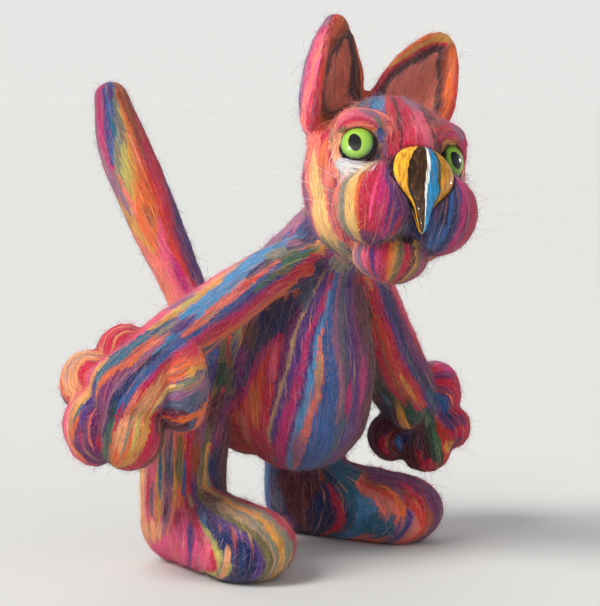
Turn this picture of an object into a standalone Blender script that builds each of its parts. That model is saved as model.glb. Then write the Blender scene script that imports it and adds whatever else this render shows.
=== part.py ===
"""Felted wool cat: one felted figure with glass eyes, a painted nose and clear whiskers.

Metres, +Z up. The cat faces -Y and its own left is +X. It stands on z = 0.
The pose and the lobes of the wool are given for a figure 217 mm tall and grow with
FIGURE_HEIGHT. The hard parts keep their own sizes, and their seats are cut to them.
"""
import bpy
import bmesh
from math import cos, pi, radians, sin, sqrt
from mathutils import Matrix, Vector

# Driving dimensions
FIGURE_HEIGHT = 0.217
EYE_DIAMETER = 0.0140
EYE_THICKNESS = 0.0096
NOSE_WIDTH = 0.0255
NOSE_HEIGHT = 0.0345
NOSE_CROWN = 0.0052
NOSE_BACK = 0.0045
WHISKER_DIAMETER = 0.0005
WHISKER_LENGTH = 0.066
WHISKER_SEAT_DEPTH = 0.004
SEAT_CLEARANCE = 0.0003

# How finely the wool is modelled
WOOL_VOXEL = 0.0013
WOOL_TRIANGLES = 6300
EAR_SIDES = 28
NOSE_SIDES = 20

# One drawing unit: the figure was drawn in millimetres at this height
DRAWN_HEIGHT = 217.0
UNIT = FIGURE_HEIGHT / DRAWN_HEIGHT

# Where the middle of the standing box lies in the drawing
BOX_MIDDLE = Vector((-5.8, -2.2, 0.0))

# The head turns to the cat's right and leans a little to its left
HEAD_CENTRE = Vector((-0.5, -50.0, 152.5))
HEAD_TURN = radians(-30.0)
HEAD_NOD = radians(0.0)
HEAD_LEAN = radians(10.0)

# Torso and neck down the middle: (x, y, z, radius)
TORSO = [
    (0.0, -8.0, 62.5, 28.0),
    (0.0, -11.5, 80.0, 27.8),
    (0.0, -14.0, 101.0, 22.5),
    (0.0, -17.0, 119.0, 19.0),
    (0.0, -30.0, 134.0, 16.5),
]
# The back behind it, from the rump to below the neck
BACK = [
    (0.0, 13.0, 68.0, 28.0),
    (0.0, 3.0, 91.0, 24.5),
    (0.0, -9.0, 113.0, 19.5),
]
RUMP = ((0.0, 14.0, 71.0), (34.0, 27.0, 32.0))
TAIL = [
    (0.0, 28.0, 60.0, 11.5),
    (0.0, 39.0, 77.0, 10.0),
    (0.0, 53.3, 102.0, 9.2),
    (0.0, 60.6, 114.0, 9.6),
    (0.0, 67.6, 125.0, 10.5),
    (0.0, 73.8, 136.0, 11.1),
    (0.0, 80.4, 147.0, 11.5),
    (0.0, 87.0, 158.0, 11.3),
    (0.0, 92.4, 170.0, 10.2),
    (0.0, 96.4, 182.8, 7.6),
]

# Legs and feet, drawn for the cat's left side and mirrored
LEG = [
    (38.0, 21.0, 18.0, 17.3),
    (38.0, 21.0, 34.0, 17.3),
    (35.6, 21.5, 52.0, 17.9),
    (29.0, 22.0, 68.0, 18.6),
]
HAUNCH = ((25.0, 21.5, 70.0), (22.5, 20.5, 28.0))
FOOT_TURN = radians(13.0)
FOOT_HEEL = (38.0, 21.0)
FOOT_LOBES = [
    ((0.0, 0.0, 16.5), (17.2, 17.2, 17.5)),
    ((0.0, -14.0, 15.0), (17.8, 26.0, 16.5)),
    ((0.0, -28.0, 14.0), (18.8, 27.0, 16.0)),
    ((0.0, -41.0, 13.2), (19.8, 21.5, 15.2)),
]

# Arms: (x, y, z, radius) from shoulder to wrist
RIGHT_ARM = [
    (-9.0, -22.0, 122.0, 11.0),
    (-23.0, -17.0, 118.0, 10.0),
    (-41.0, -8.5, 107.5, 11.0),
    (-64.0, 3.0, 90.5, 12.3),
    (-78.0, 6.5, 79.0, 14.5),
]
LEFT_ARM = [
    (9.0, -24.0, 119.0, 11.5),
    (21.5, -23.0, 110.0, 11.0),
    (35.0, -20.0, 93.0, 12.4),
    (51.0, -14.5, 74.5, 14.0),
    (66.0, -11.0, 60.0, 14.0),
]
# Paw lobes: centre, radii
RIGHT_PAW = [
    ((-83.5, 7.5, 73.0), (15.0, 17.5, 17.0)),
    ((-86.0, 4.5, 58.8), (12.5, 14.5, 14.5)),
    ((-91.5, 17.0, 60.8), (11.5, 12.8, 15.6)),
    ((-87.0, 24.3, 76.0), (10.8, 11.8, 12.8)),
    ((-75.0, 16.5, 87.5), (11.0, 11.5, 10.5)),
]
RIGHT_THUMB = [
    (-67.0, -5.0, 86.0, 8.5),
    (-69.5, -10.0, 78.0, 8.8),
    (-72.5, -11.0, 67.0, 8.4),
]
LEFT_PAW = [
    ((73.0, -10.0, 53.0), (14.0, 15.0, 15.5)),
    ((78.4, -16.8, 58.4), (11.4, 12.2, 14.2)),
    ((80.5, -20.5, 44.0), (11.0, 12.5, 10.5)),
    ((74.0, -16.0, 35.5), (11.0, 11.5, 11.0)),
    ((67.8, -2.4, 39.6), (10.5, 10.5, 11.0)),
]
LEFT_THUMB = [
    (58.0, -15.0, 70.0, 7.4),
    (57.5, -17.5, 61.0, 7.8),
    (58.5, -17.5, 52.0, 7.4),
]

# Head lobes in the head's own frame, with the face towards -Y
SKULL = ((0.0, 0.0, 0.0), (31.5, 32.0, 32.5))
JAW = ((0.0, -6.0, -14.0), (29.5, 27.0, 20.0))
CHEEK = ((12.0, -26.0, -9.5), (16.2, 17.0, 16.6))
CHIN = ((-2.0, -23.0, -28.0), (15.0, 13.0, 11.0))
BROW = ((18.0, -18.0, 17.2), (10.6, 7.8, 8.0))
LOWER_LID = ((20.6, -24.2, 2.6), (8.4, 5.0, 3.4))
NOSE_BRIDGE = ((0.0, -25.0, 7.0), (9.0, 9.0, 15.0))
# The eyes, brows and lids sit a little to the cat's right of the nose's line, the left more so
EYE_SHIFT = {-1.0: -1.8, 1.0: -4.2}
BROW_SHIFT = {-1.0: -1.8, 1.0: -2.9}

# Eyes in the head's frame: where the middle of the glass sits, and how it faces
EYE_PLACE = (20.0, -23.0, 10.3)
EYE_OUTWARD = radians(36.0)
EYE_UPWARD = radians(12.0)

# Nose in the head's frame
NOSE_PLACE = (0.0, -38.0, -2.2)
NOSE_SLOPE = radians(24.0)
# Half width and crown along its height, as shares, from the top edge to the point
NOSE_PROFILE = [
    (0.500, 0.00, 0.10),
    (0.480, 0.34, 0.40),
    (0.430, 0.62, 0.62),
    (0.340, 0.86, 0.82),
    (0.230, 0.98, 0.94),
    (0.110, 0.98, 1.00),
    (0.000, 0.84, 1.00),
    (-0.080, 0.62, 0.98),
    (-0.150, 0.40, 0.92),
    (-0.230, 0.26, 0.80),
    (-0.320, 0.19, 0.66),
    (-0.410, 0.12, 0.50),
    (-0.470, 0.07, 0.34),
    (-0.500, 0.00, 0.10),
]

# Ears in the head's frame: root, how they stand, and sections from root to tip
RIGHT_EAR = {"root": (-23.5, 8.0, 17.5), "lean": radians(-3.0), "tip_back": radians(4.0),
             "turn": radians(36.0)}
LEFT_EAR = {"root": (7.5, 12.0, 21.0), "lean": radians(20.0), "tip_back": radians(4.0),
            "turn": radians(-8.0)}
# Height, half width, depth of the back, depth of the hollow, how far the rims curl forward
EAR_PROFILE = [
    (-14.0, 6.0, 4.0, 0.0, 0.0),
    (-7.0, 11.0, 7.0, 0.0, 1.0),
    (0.0, 15.2, 10.0, 3.0, 3.0),
    (8.0, 17.0, 11.5, 8.0, 5.0),
    (16.0, 16.8, 11.5, 8.6, 5.5),
    (23.5, 15.0, 10.5, 8.0, 5.0),
    (30.0, 12.4, 9.0, 6.6, 4.0),
    (36.0, 9.2, 7.0, 4.6, 2.6),
    (40.5, 5.9, 4.6, 1.5, 1.2),
    (43.0, 2.8, 2.4, 0.0, 0.4),
]
EAR_RIM = 4.4

# Whiskers in the head's frame, for the left side: root on the cheek, direction and share of length
WHISKERS = [
    ((26.0, -25.0, -4.0), (0.93, 0.15, 0.34), 1.00),
    ((27.2, -25.0, -8.5), (0.95, 0.15, 0.18), 0.94),
    ((26.6, -25.0, -13.0), (0.95, 0.12, 0.06), 0.86),
]
WHISKER_SAG = 0.09


def clear_scene():
    """Remove every object that is in the scene."""
    for old in list(bpy.data.objects):
        bpy.data.objects.remove(old, do_unlink=True)


def material(name, colour, roughness, coat=0.0, transmission=0.0):
    """Return a Principled material."""
    made = bpy.data.materials.new(name)
    made.use_nodes = True
    shader = made.node_tree.nodes["Principled BSDF"]
    shader.inputs["Base Color"].default_value = (*colour, 1.0)
    shader.inputs["Roughness"].default_value = roughness
    shader.inputs["Metallic"].default_value = 0.0
    shader.inputs["Coat Weight"].default_value = coat
    shader.inputs["Transmission Weight"].default_value = transmission
    made.diffuse_color = (*colour, 1.0)
    return made


def link_object(name, mesh, finish=None):
    """Put a mesh into the scene as a named object."""
    made = bpy.data.objects.new(name, mesh)
    bpy.context.scene.collection.objects.link(made)
    if finish is not None:
        mesh.materials.append(finish)
    return made


def figure_frame():
    """Drawing units to metres, with the middle of the box over the origin."""
    return Matrix.Scale(UNIT, 4) @ Matrix.Translation(-BOX_MIDDLE)


def head_frame():
    """The head's own frame, in drawing units, to metres."""
    turn = Matrix.Rotation(HEAD_TURN, 4, "Z")
    nod = Matrix.Rotation(HEAD_NOD, 4, "X")
    lean = Matrix.Rotation(HEAD_LEAN, 4, "Y")
    return figure_frame() @ Matrix.Translation(HEAD_CENTRE) @ turn @ nod @ lean


def add_lobe(bm, frame, lobe, turn=Matrix.Identity(4)):
    """Add an ellipsoid of wool to the mesh."""
    centre, radii = lobe
    place = frame @ Matrix.Translation(centre) @ turn @ Matrix.Diagonal((*radii, 1.0))
    bmesh.ops.create_icosphere(bm, subdivisions=4, radius=1.0, matrix=place)


def add_limb(bm, frame, stations):
    """Add a round limb along a smooth line, with a ball of wool at each end."""
    curve = bpy.data.curves.new("limb_line", "CURVE")
    curve.dimensions = "3D"
    curve.bevel_depth = 1.0
    curve.bevel_resolution = 6
    curve.resolution_u = 10
    curve.use_fill_caps = True
    line = curve.splines.new("BEZIER")
    line.radius_interpolation = "CARDINAL"
    line.bezier_points.add(len(stations) - 1)
    for knot, (x, y, z, radius) in zip(line.bezier_points, stations):
        knot.co = (x, y, z)
        knot.radius = radius
        knot.handle_left_type = "AUTO"
        knot.handle_right_type = "AUTO"
    guide = bpy.data.objects.new("limb_line", curve)
    bpy.context.scene.collection.objects.link(guide)
    mesh = bpy.data.meshes.new_from_object(guide.evaluated_get(bpy.context.evaluated_depsgraph_get()))
    bpy.data.objects.remove(guide, do_unlink=True)
    mesh.transform(frame)
    bm.from_mesh(mesh)
    bpy.data.meshes.remove(mesh)
    for x, y, z, radius in (stations[0], stations[-1]):
        add_lobe(bm, frame, ((x, y, z), (radius, radius, radius)))


def bridge_rings(bm, rings):
    """Join rings of points into one closed skin, with a fan over each end."""
    loops = [[bm.verts.new(point) for point in ring] for ring in rings]
    for lower, upper in zip(loops, loops[1:]):
        count = len(lower)
        for i in range(count):
            bm.faces.new((lower[i], lower[(i + 1) % count], upper[(i + 1) % count], upper[i]))
    for loop, flip in ((loops[0], True), (loops[-1], False)):
        middle = bm.verts.new(sum((v.co for v in loop), Vector()) / len(loop))
        for i in range(len(loop)):
            pair = (loop[i], loop[(i + 1) % len(loop)])
            bm.faces.new((middle, *(reversed(pair) if flip else pair)))


def ear_ring(height, half_width, back, hollow, curl):
    """One section of an ear: a round back, and a front hollowed between two rims."""
    ring = []
    for i in range(EAR_SIDES):
        angle = 2.0 * pi * i / EAR_SIDES
        across = cos(angle)
        if sin(angle) >= 0.0:
            y = back * sin(angle)
        else:
            y = min(EAR_RIM, back) * sin(angle)
            inward = min(1.0, max(0.0, (0.86 - abs(across)) / 0.5))
            y += hollow * inward * inward * (3.0 - 2.0 * inward)
        ring.append(Vector((half_width * across, y - curl * across * across, height)))
    return ring


def add_ear(bm, frame, ear):
    """Add one cupped ear."""
    place = (frame @ Matrix.Translation(ear["root"]) @ Matrix.Rotation(ear["lean"], 4, "Y")
             @ Matrix.Rotation(-ear["tip_back"], 4, "X") @ Matrix.Rotation(ear["turn"], 4, "Z"))
    rings = [[place @ point for point in ear_ring(*section)] for section in EAR_PROFILE]
    bridge_rings(bm, rings)


def add_leg(bm, frame, side):
    """Add one leg and its foot. Side is 1 for the cat's left and -1 for its right."""
    add_limb(bm, frame, [(side * x, y, z, radius) for x, y, z, radius in LEG])
    (x, y, z), radii = HAUNCH
    add_lobe(bm, frame, ((side * x, y, z), radii))
    turn = Matrix.Rotation(side * FOOT_TURN, 4, "Z")
    heel = Matrix.Translation((side * FOOT_HEEL[0], FOOT_HEEL[1], 0.0))
    for lobe in FOOT_LOBES:
        add_lobe(bm, frame @ heel @ turn, lobe)


def add_head(bm, frame):
    """Add the skull, the face's lobes and the ears."""
    for lobe in (SKULL, JAW, CHIN, NOSE_BRIDGE):
        add_lobe(bm, frame, lobe)
    for side in (1.0, -1.0):
        (x, y, z), radii = CHEEK
        add_lobe(bm, frame, ((side * x, y, z), radii))
        outward = Matrix.Rotation(side * EYE_OUTWARD, 4, "Z")
        for (x, y, z), radii in (BROW, LOWER_LID):
            add_lobe(bm, frame, ((side * x + BROW_SHIFT[side], y, z), radii), outward)
    for ear in (RIGHT_EAR, LEFT_EAR):
        add_ear(bm, frame, ear)


def wool_forms():
    """All the lobes and limbs of wool in one mesh, before they are felted together."""
    bm = bmesh.new()
    frame = figure_frame()
    add_limb(bm, frame, TORSO)
    add_limb(bm, frame, BACK)
    add_lobe(bm, frame, RUMP)
    add_limb(bm, frame, TAIL)
    for side in (1.0, -1.0):
        add_leg(bm, frame, side)
    for arm, paw, thumb in ((RIGHT_ARM, RIGHT_PAW, RIGHT_THUMB), (LEFT_ARM, LEFT_PAW, LEFT_THUMB)):
        add_limb(bm, frame, arm)
        add_limb(bm, frame, thumb)
        for lobe in paw:
            add_lobe(bm, frame, lobe)
    add_head(bm, head_frame())
    mesh = bpy.data.meshes.new("felt_body")
    bm.to_mesh(mesh)
    bm.free()
    return mesh


def eye_frame(side):
    """Where one glass eye sits. Its front faces local +Z."""
    x, y, z = EYE_PLACE
    facing = Matrix.Rotation(side * EYE_OUTWARD, 4, "Z") @ Matrix.Rotation(pi / 2.0 - EYE_UPWARD, 4, "X")
    place = head_frame() @ Matrix.Translation((side * x + EYE_SHIFT[side], y, z)) @ facing
    return Matrix.LocRotScale(place.to_translation(), place.to_quaternion(), None)


def eye_mesh(name, side, grow, subdivisions):
    """A lens of glass, or the hollow that it sits in when it is grown by the clearance."""
    radius = EYE_DIAMETER / 2.0 + grow
    depth = EYE_THICKNESS / 2.0 + grow
    bm = bmesh.new()
    shape = eye_frame(side) @ Matrix.Diagonal((radius, radius, depth, 1.0))
    bmesh.ops.create_icosphere(bm, subdivisions=subdivisions, radius=1.0, matrix=shape)
    mesh = bpy.data.meshes.new(name)
    bm.to_mesh(mesh)
    bm.free()
    return mesh


def nose_frame():
    """Where the nose sits. Its height runs along local +Z and its front faces -Y."""
    place = head_frame() @ Matrix.Translation(NOSE_PLACE) @ Matrix.Rotation(-NOSE_SLOPE, 4, "X")
    return Matrix.LocRotScale(place.to_translation(), place.to_quaternion(), None)


def nose_mesh(name, grow):
    """The shield-shaped nose with its point, or its seat when it is grown."""
    bm = bmesh.new()
    rings = []
    least = 0.0004
    for height, width, crown in NOSE_PROFILE:
        half = width * NOSE_WIDTH / 2.0 + least + grow
        front = crown * NOSE_CROWN + grow
        back = NOSE_BACK * sqrt(crown) + grow
        level = height * NOSE_HEIGHT
        if abs(height) == 0.5:
            level += grow if height > 0.0 else -grow
        ring = []
        for i in range(NOSE_SIDES):
            angle = 2.0 * pi * i / NOSE_SIDES
            depth = front if sin(angle) > 0.0 else back
            ring.append(nose_frame() @ Vector((half * cos(angle), -depth * sin(angle), level)))
        rings.append(ring)
    bridge_rings(bm, rings)
    bmesh.ops.recalc_face_normals(bm, faces=bm.faces)
    mesh = bpy.data.meshes.new(name)
    bm.to_mesh(mesh)
    bm.free()
    return mesh


def whisker_line(side, root, direction, length):
    """Points along one whisker in metres, from the end of its seat to its tip."""
    frame = head_frame()
    start = frame @ Vector((side * root[0], root[1], root[2]))
    heading = (frame.to_3x3() @ Vector((side * direction[0], direction[1], direction[2]))).normalized()
    steps = 8
    points = [start - heading * WHISKER_SEAT_DEPTH]
    for i in range(1, steps + 1):
        share = i / steps
        drop = WHISKER_SAG * length * share * share
        points.append(start + heading * (length * share) - Vector((0.0, 0.0, drop)))
    return points


def whisker_mesh(name, points, radius, sides):
    """A round thread along the points, closed at both ends."""
    bm = bmesh.new()
    rings = []
    for i, point in enumerate(points):
        before = points[max(i - 1, 0)]
        after = points[min(i + 1, len(points) - 1)]
        along = (after - before).normalized()
        across = along.cross(Vector((0.0, 0.0, 1.0))).normalized()
        above = across.cross(along)
        ring = []
        for k in range(sides):
            angle = 2.0 * pi * k / sides
            ring.append(point + (across * cos(angle) + above * sin(angle)) * radius)
        rings.append(ring)
    bridge_rings(bm, rings)
    bmesh.ops.recalc_face_normals(bm, faces=bm.faces)
    mesh = bpy.data.meshes.new(name)
    bm.to_mesh(mesh)
    bm.free()
    return mesh


def add_cutter(body, name, mesh):
    """Cut a closed shape out of the wool."""
    cutter = link_object(name, mesh)
    cutter.display_type = "WIRE"
    cutter.hide_render = True
    cut = body.modifiers.new(name, "BOOLEAN")
    cut.operation = "DIFFERENCE"
    cut.solver = "EXACT"
    cut.object = cutter


def floor_mesh():
    """A block under the floor, which gives the soles their flat."""
    bm = bmesh.new()
    size = FIGURE_HEIGHT * 2.0
    place = Matrix.Translation((0.0, 0.0, -size / 2.0)) @ Matrix.Scale(size, 4)
    bmesh.ops.create_cube(bm, size=1.0, matrix=place)
    mesh = bpy.data.meshes.new("floor_cut")
    bm.to_mesh(mesh)
    bm.free()
    return mesh


def build_body(wool):
    """Felt the forms together and cut the seats and the flat soles."""
    body = link_object("felt_body", wool_forms(), wool)
    felting = body.modifiers.new("felting", "REMESH")
    felting.mode = "VOXEL"
    felting.voxel_size = WOOL_VOXEL
    smoothing = body.modifiers.new("smoothing", "SMOOTH")
    smoothing.factor = 0.5
    smoothing.iterations = 6
    thinning = body.modifiers.new("thinning", "DECIMATE")
    counted = body.evaluated_get(bpy.context.evaluated_depsgraph_get()).data
    counted.calc_loop_triangles()
    thinning.ratio = WOOL_TRIANGLES / len(counted.loop_triangles)
    thinning.use_collapse_triangulate = True
    add_cutter(body, "floor_cut", floor_mesh())
    for side, name in ((-1.0, "right_eye_seat"), (1.0, "left_eye_seat")):
        add_cutter(body, name, eye_mesh(name, side, SEAT_CLEARANCE, 3))
    add_cutter(body, "nose_seat", nose_mesh("nose_seat", SEAT_CLEARANCE))
    return body


def build_whiskers(body, nylon):
    """Set the whiskers into the cheeks, each with its own hole in the wool."""
    radius = WHISKER_DIAMETER / 2.0
    for side, word in ((-1.0, "right"), (1.0, "left")):
        for number, (root, direction, share) in enumerate(WHISKERS, start=1):
            name = f"{word}_whisker_{number}"
            points = whisker_line(side, root, direction, share * WHISKER_LENGTH)
            whisker = link_object(name, whisker_mesh(name, points, radius, 6), nylon)
            whisker.data.shade_smooth()
            along = (points[1] - points[0]).normalized()
            reach = [points[0] - along * SEAT_CLEARANCE, points[1]]
            hole = whisker_mesh(f"{name}_seat", reach, radius + SEAT_CLEARANCE, 6)
            add_cutter(body, f"{name}_seat", hole)


def main():
    """Build the whole figure."""
    clear_scene()
    wool = material("variegated_wool", (0.60, 0.16, 0.22), 0.95)
    glass = material("green_glass", (0.32, 0.60, 0.08), 0.05, coat=1.0)
    lacquer = material("painted_nose", (0.80, 0.45, 0.05), 0.18, coat=1.0)
    nylon = material("clear_nylon", (0.90, 0.90, 0.88), 0.10, transmission=0.8)
    body = build_body(wool)
    for side, name in ((-1.0, "right_eye"), (1.0, "left_eye")):
        eye = link_object(name, eye_mesh(name, side, 0.0, 3), glass)
        eye.data.shade_smooth()
    nose = link_object("nose", nose_mesh("nose", 0.0), lacquer)
    nose.data.shade_smooth()
    build_whiskers(body, nylon)


main()
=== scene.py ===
"""Looks of the felted wool cat: dyed wool, stray fibres, glass eyes, painted nose, whiskers."""

import logging
from collections.abc import Iterator
from dataclasses import dataclass
from enum import Enum
from math import ceil, cos, pi, radians, sin, sqrt

import bmesh
import bpy
import numpy as np
from bpy.types import Material, Mesh, Object
from mathutils import Matrix, Vector, noise
from mathutils.bvhtree import BVHTree


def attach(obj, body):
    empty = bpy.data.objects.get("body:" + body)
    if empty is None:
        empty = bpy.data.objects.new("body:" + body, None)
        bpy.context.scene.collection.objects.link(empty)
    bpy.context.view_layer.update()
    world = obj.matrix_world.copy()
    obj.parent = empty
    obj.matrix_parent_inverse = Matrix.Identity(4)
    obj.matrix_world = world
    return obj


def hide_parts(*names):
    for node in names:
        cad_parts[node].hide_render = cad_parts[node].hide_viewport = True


logging.basicConfig(level=logging.INFO, format="%(message)s")
LOG = logging.getLogger("felted_cat")

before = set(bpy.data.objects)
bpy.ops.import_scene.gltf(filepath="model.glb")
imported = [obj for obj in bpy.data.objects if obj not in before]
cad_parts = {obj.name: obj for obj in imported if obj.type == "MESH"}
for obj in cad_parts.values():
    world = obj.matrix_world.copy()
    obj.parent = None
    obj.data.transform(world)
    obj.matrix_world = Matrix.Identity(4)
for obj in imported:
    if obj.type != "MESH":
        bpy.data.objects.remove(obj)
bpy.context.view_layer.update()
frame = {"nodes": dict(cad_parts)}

MM = 0.001
# Where the middle of the standing box lies in the figure's drawing, in mm
BOX_MIDDLE = np.array((-5.8, -2.2, 0.0))
# The direction that each lock of wool is laid out from, towards the cat's right front
FACING = np.array((-0.764, -0.641, 0.078))
# The cat's own sides along X
SIDES = ((-1.0, "right"), (1.0, "left"))
# An eye's place in the head's frame, in mm, and its turn outwards and its tilt, in degrees
EYE_PLACE = (20.0, -23.0, 10.3)
EYE_TURN = 36.0
EYE_TILT = 78.0
# How far each side's eye and brow are moved along X, in mm
EYE_SHIFT = {-1.0: -1.8, 1.0: -4.2}
BROW_SHIFT = {-1.0: -1.8, 1.0: -2.9}

Point = tuple[float, float, float]
Array = np.ndarray


class Wool(Enum):
    """Dyes of the wool, as sRGB."""

    CRIMSON = (204, 26, 66)
    MAGENTA = (198, 34, 112)
    HOT_PINK = (240, 70, 134)
    PINK = (236, 92, 126)
    SALMON = (242, 120, 102)
    ORANGE = (234, 108, 48)
    RED_ORANGE = (222, 60, 44)
    RUST = (172, 78, 46)
    OCHRE = (226, 156, 68)
    YELLOW = (246, 194, 112)
    LIME = (192, 178, 92)
    OLIVE = (122, 112, 70)
    GREEN = (72, 116, 84)
    DARK_GREEN = (44, 74, 62)
    GREY_GREEN = (134, 136, 116)
    TEAL = (24, 104, 134)
    SKY = (74, 146, 196)
    STEEL = (52, 96, 158)
    NAVY = (34, 44, 96)
    SLATE = (84, 92, 116)
    VIOLET = (90, 54, 128)
    PURPLE = (116, 36, 100)
    MAUVE = (158, 98, 132)
    MAROON = (92, 24, 44)
    BROWN = (94, 54, 44)
    TAN = (188, 148, 112)
    PEACH = (244, 164, 112)
    TERRACOTTA = (232, 132, 112)
    DUSTY_PINK = (236, 142, 130)
    CHARCOAL = (88, 66, 70)
    WHITE = (236, 233, 230)
    CLOUD = (206, 200, 208)
    BLACK = (20, 17, 18)

    @property
    def linear(self) -> Point:
        """The dye as linear light."""
        return tuple(to_linear(part / 255.0) for part in self.value)


def to_linear(value: float) -> float:
    """One sRGB channel, from 0 to 1, as linear light."""
    return value / 12.92 if value <= 0.04045 else ((value + 0.055) / 1.055) ** 2.4


def unit(vectors: Array) -> Array:
    """Vectors scaled to length one."""
    size = np.linalg.norm(vectors, axis=-1, keepdims=True)
    return vectors / np.maximum(size, 1e-9)


def to_drawing(points: Array) -> Array:
    """Metres of the part's frame to millimetres of the drawing."""
    return points / MM + BOX_MIDDLE


def to_frame(points: Array) -> Array:
    """Millimetres of the drawing to metres of the part's frame."""
    return (points - BOX_MIDDLE) * MM


def moved(points: Array, place: Matrix) -> Array:
    """Rows of points, carried along by a matrix."""
    there = np.array(place)
    return points @ there[:3, :3].T + there[:3, 3]


def turned(degrees: float, axis: str) -> Matrix:
    """A turn about one axis."""
    return Matrix.Rotation(radians(degrees), 4, axis)


def wrapped(degrees: Array) -> Array:
    """Angles brought into -180 to 180."""
    return (degrees + 180.0) % 360.0 - 180.0


def smoothstep(values: Array, low: float, high: float) -> Array:
    """An eased step from 0 at low to 1 at high."""
    share = np.clip((values - low) / (high - low), 0.0, 1.0)
    return share * share * (3.0 - 2.0 * share)


def dots(first: Array, second: Array) -> Array:
    """The scalar product of each pair of rows, as a column."""
    return np.einsum("ij,ij->i", first, second)[:, None]


@dataclass(frozen=True)
class Lobe:
    """An ellipsoid of wool."""

    centre: Point
    radii: Point
    turn: float = 0.0

    def depth(self, points: Array) -> Array:
        """Distance of points from the skin of the lobe, negative inside.

        Args:
            points: Places in the lobe's own frame, in mm.

        Returns:
            One distance for each point.
        """
        offset = points - np.array(self.centre)
        if self.turn:
            c, s = cos(radians(self.turn)), sin(radians(self.turn))
            offset = np.stack((offset[:, 0] * c + offset[:, 1] * s,
                               offset[:, 1] * c - offset[:, 0] * s, offset[:, 2]), axis=1)
        radii = np.array(self.radii)
        near = np.linalg.norm(offset / radii, axis=1)
        slope = np.linalg.norm(offset / radii ** 2, axis=1)
        return near * (near - 1.0) / np.maximum(slope, 1e-6)


@dataclass(frozen=True)
class Limb:
    """A round limb of wool along a line of stations: (x, y, z, radius)."""

    stations: tuple[tuple[float, float, float, float], ...]
    step: float = 0.2

    def line(self) -> Array:
        """The stations joined by a smooth line of closer points.

        Returns:
            One row for each point of the line: its place and radius, in mm.
        """
        knots = np.array(self.stations)
        if len(knots) < 3:
            return knots
        padded = np.vstack((2 * knots[0] - knots[1], knots, 2 * knots[-1] - knots[-2]))
        rows = []
        for i in range(1, len(padded) - 2):
            p0, p1, p2, p3 = padded[i - 1:i + 3]
            for share in np.arange(0.0, 1.0, self.step):
                rows.append(0.5 * (2 * p1 + (p2 - p0) * share
                                   + (2 * p0 - 5 * p1 + 4 * p2 - p3) * share ** 2
                                   + (3 * p1 - p0 - 3 * p2 + p3) * share ** 3))
        return np.vstack((*rows, knots[-1]))

    def nearest(self, points: Array) -> dict[str, Array]:
        """Where points lie beside the limb's line.

        Args:
            points: Places in the limb's own frame, in mm.

        Returns:
            The distance from the skin, the length along the line, the line's own point, and the
            line's direction there.
        """
        line = self.line()
        lengths = np.linalg.norm(np.diff(line[:, :3], axis=0), axis=1)
        passed = np.concatenate(((0.0,), np.cumsum(lengths)))
        knots = unit(np.gradient(line[:, :3], axis=0))
        best = np.full(len(points), 1e9)
        found = {"depth": best.copy(), "along": best.copy(), "axis": np.zeros((len(points), 3)),
                 "run": np.zeros((len(points), 3))}
        for i, length in enumerate(lengths):
            start, end = line[i], line[i + 1]
            way = (end[:3] - start[:3]) / length
            share = np.clip((points - start[:3]) @ way / length, 0.0, 1.0)
            place = start[:3] + share[:, None] * (end[:3] - start[:3])
            gap = np.linalg.norm(points - place, axis=1)
            hit = gap < best
            best = np.where(hit, gap, best)
            radius = start[3] + share * (end[3] - start[3])
            found["depth"] = np.where(hit, gap - radius, found["depth"])
            found["along"] = np.where(hit, passed[i] + share * length, found["along"])
            found["axis"][hit] = place[hit]
            found["run"][hit] = (knots[i] + share[:, None] * (knots[i + 1] - knots[i]))[hit]
        found["run"] = unit(found["run"])
        beyond = dots(points - found["axis"], found["run"])[:, 0]
        ends = (found["along"] <= 0.0) | (found["along"] >= passed[-1] - 1e-6)
        found["along"] = found["along"] + np.where(ends, beyond, 0.0)
        return found

    def depth(self, points: Array) -> Array:
        """Distance of points from the skin of the limb, negative inside."""
        return self.nearest(points)["depth"]


@dataclass(frozen=True)
class Lock:
    """A band of dyed wool and where it begins, in degrees: everywhere, or at each station."""

    wool: Wool
    starts: tuple[float, ...]


@dataclass(frozen=True)
class Tuft:
    """A short lock laid over the others: its middle and half sizes, in degrees and in mm."""

    wool: Wool
    across: float
    along: float
    half_across: float
    half_along: float


def locks(*rows: tuple) -> tuple[Lock, ...]:
    """Rows of a dye and its starts as locks."""
    return tuple(Lock(wool, tuple(map(float, starts))) for wool, *starts in rows)


def tufts(*rows: tuple) -> tuple[Tuft, ...]:
    """Rows of a dye and its four numbers as tufts."""
    return tuple(Tuft(*row) for row in rows)


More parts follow.
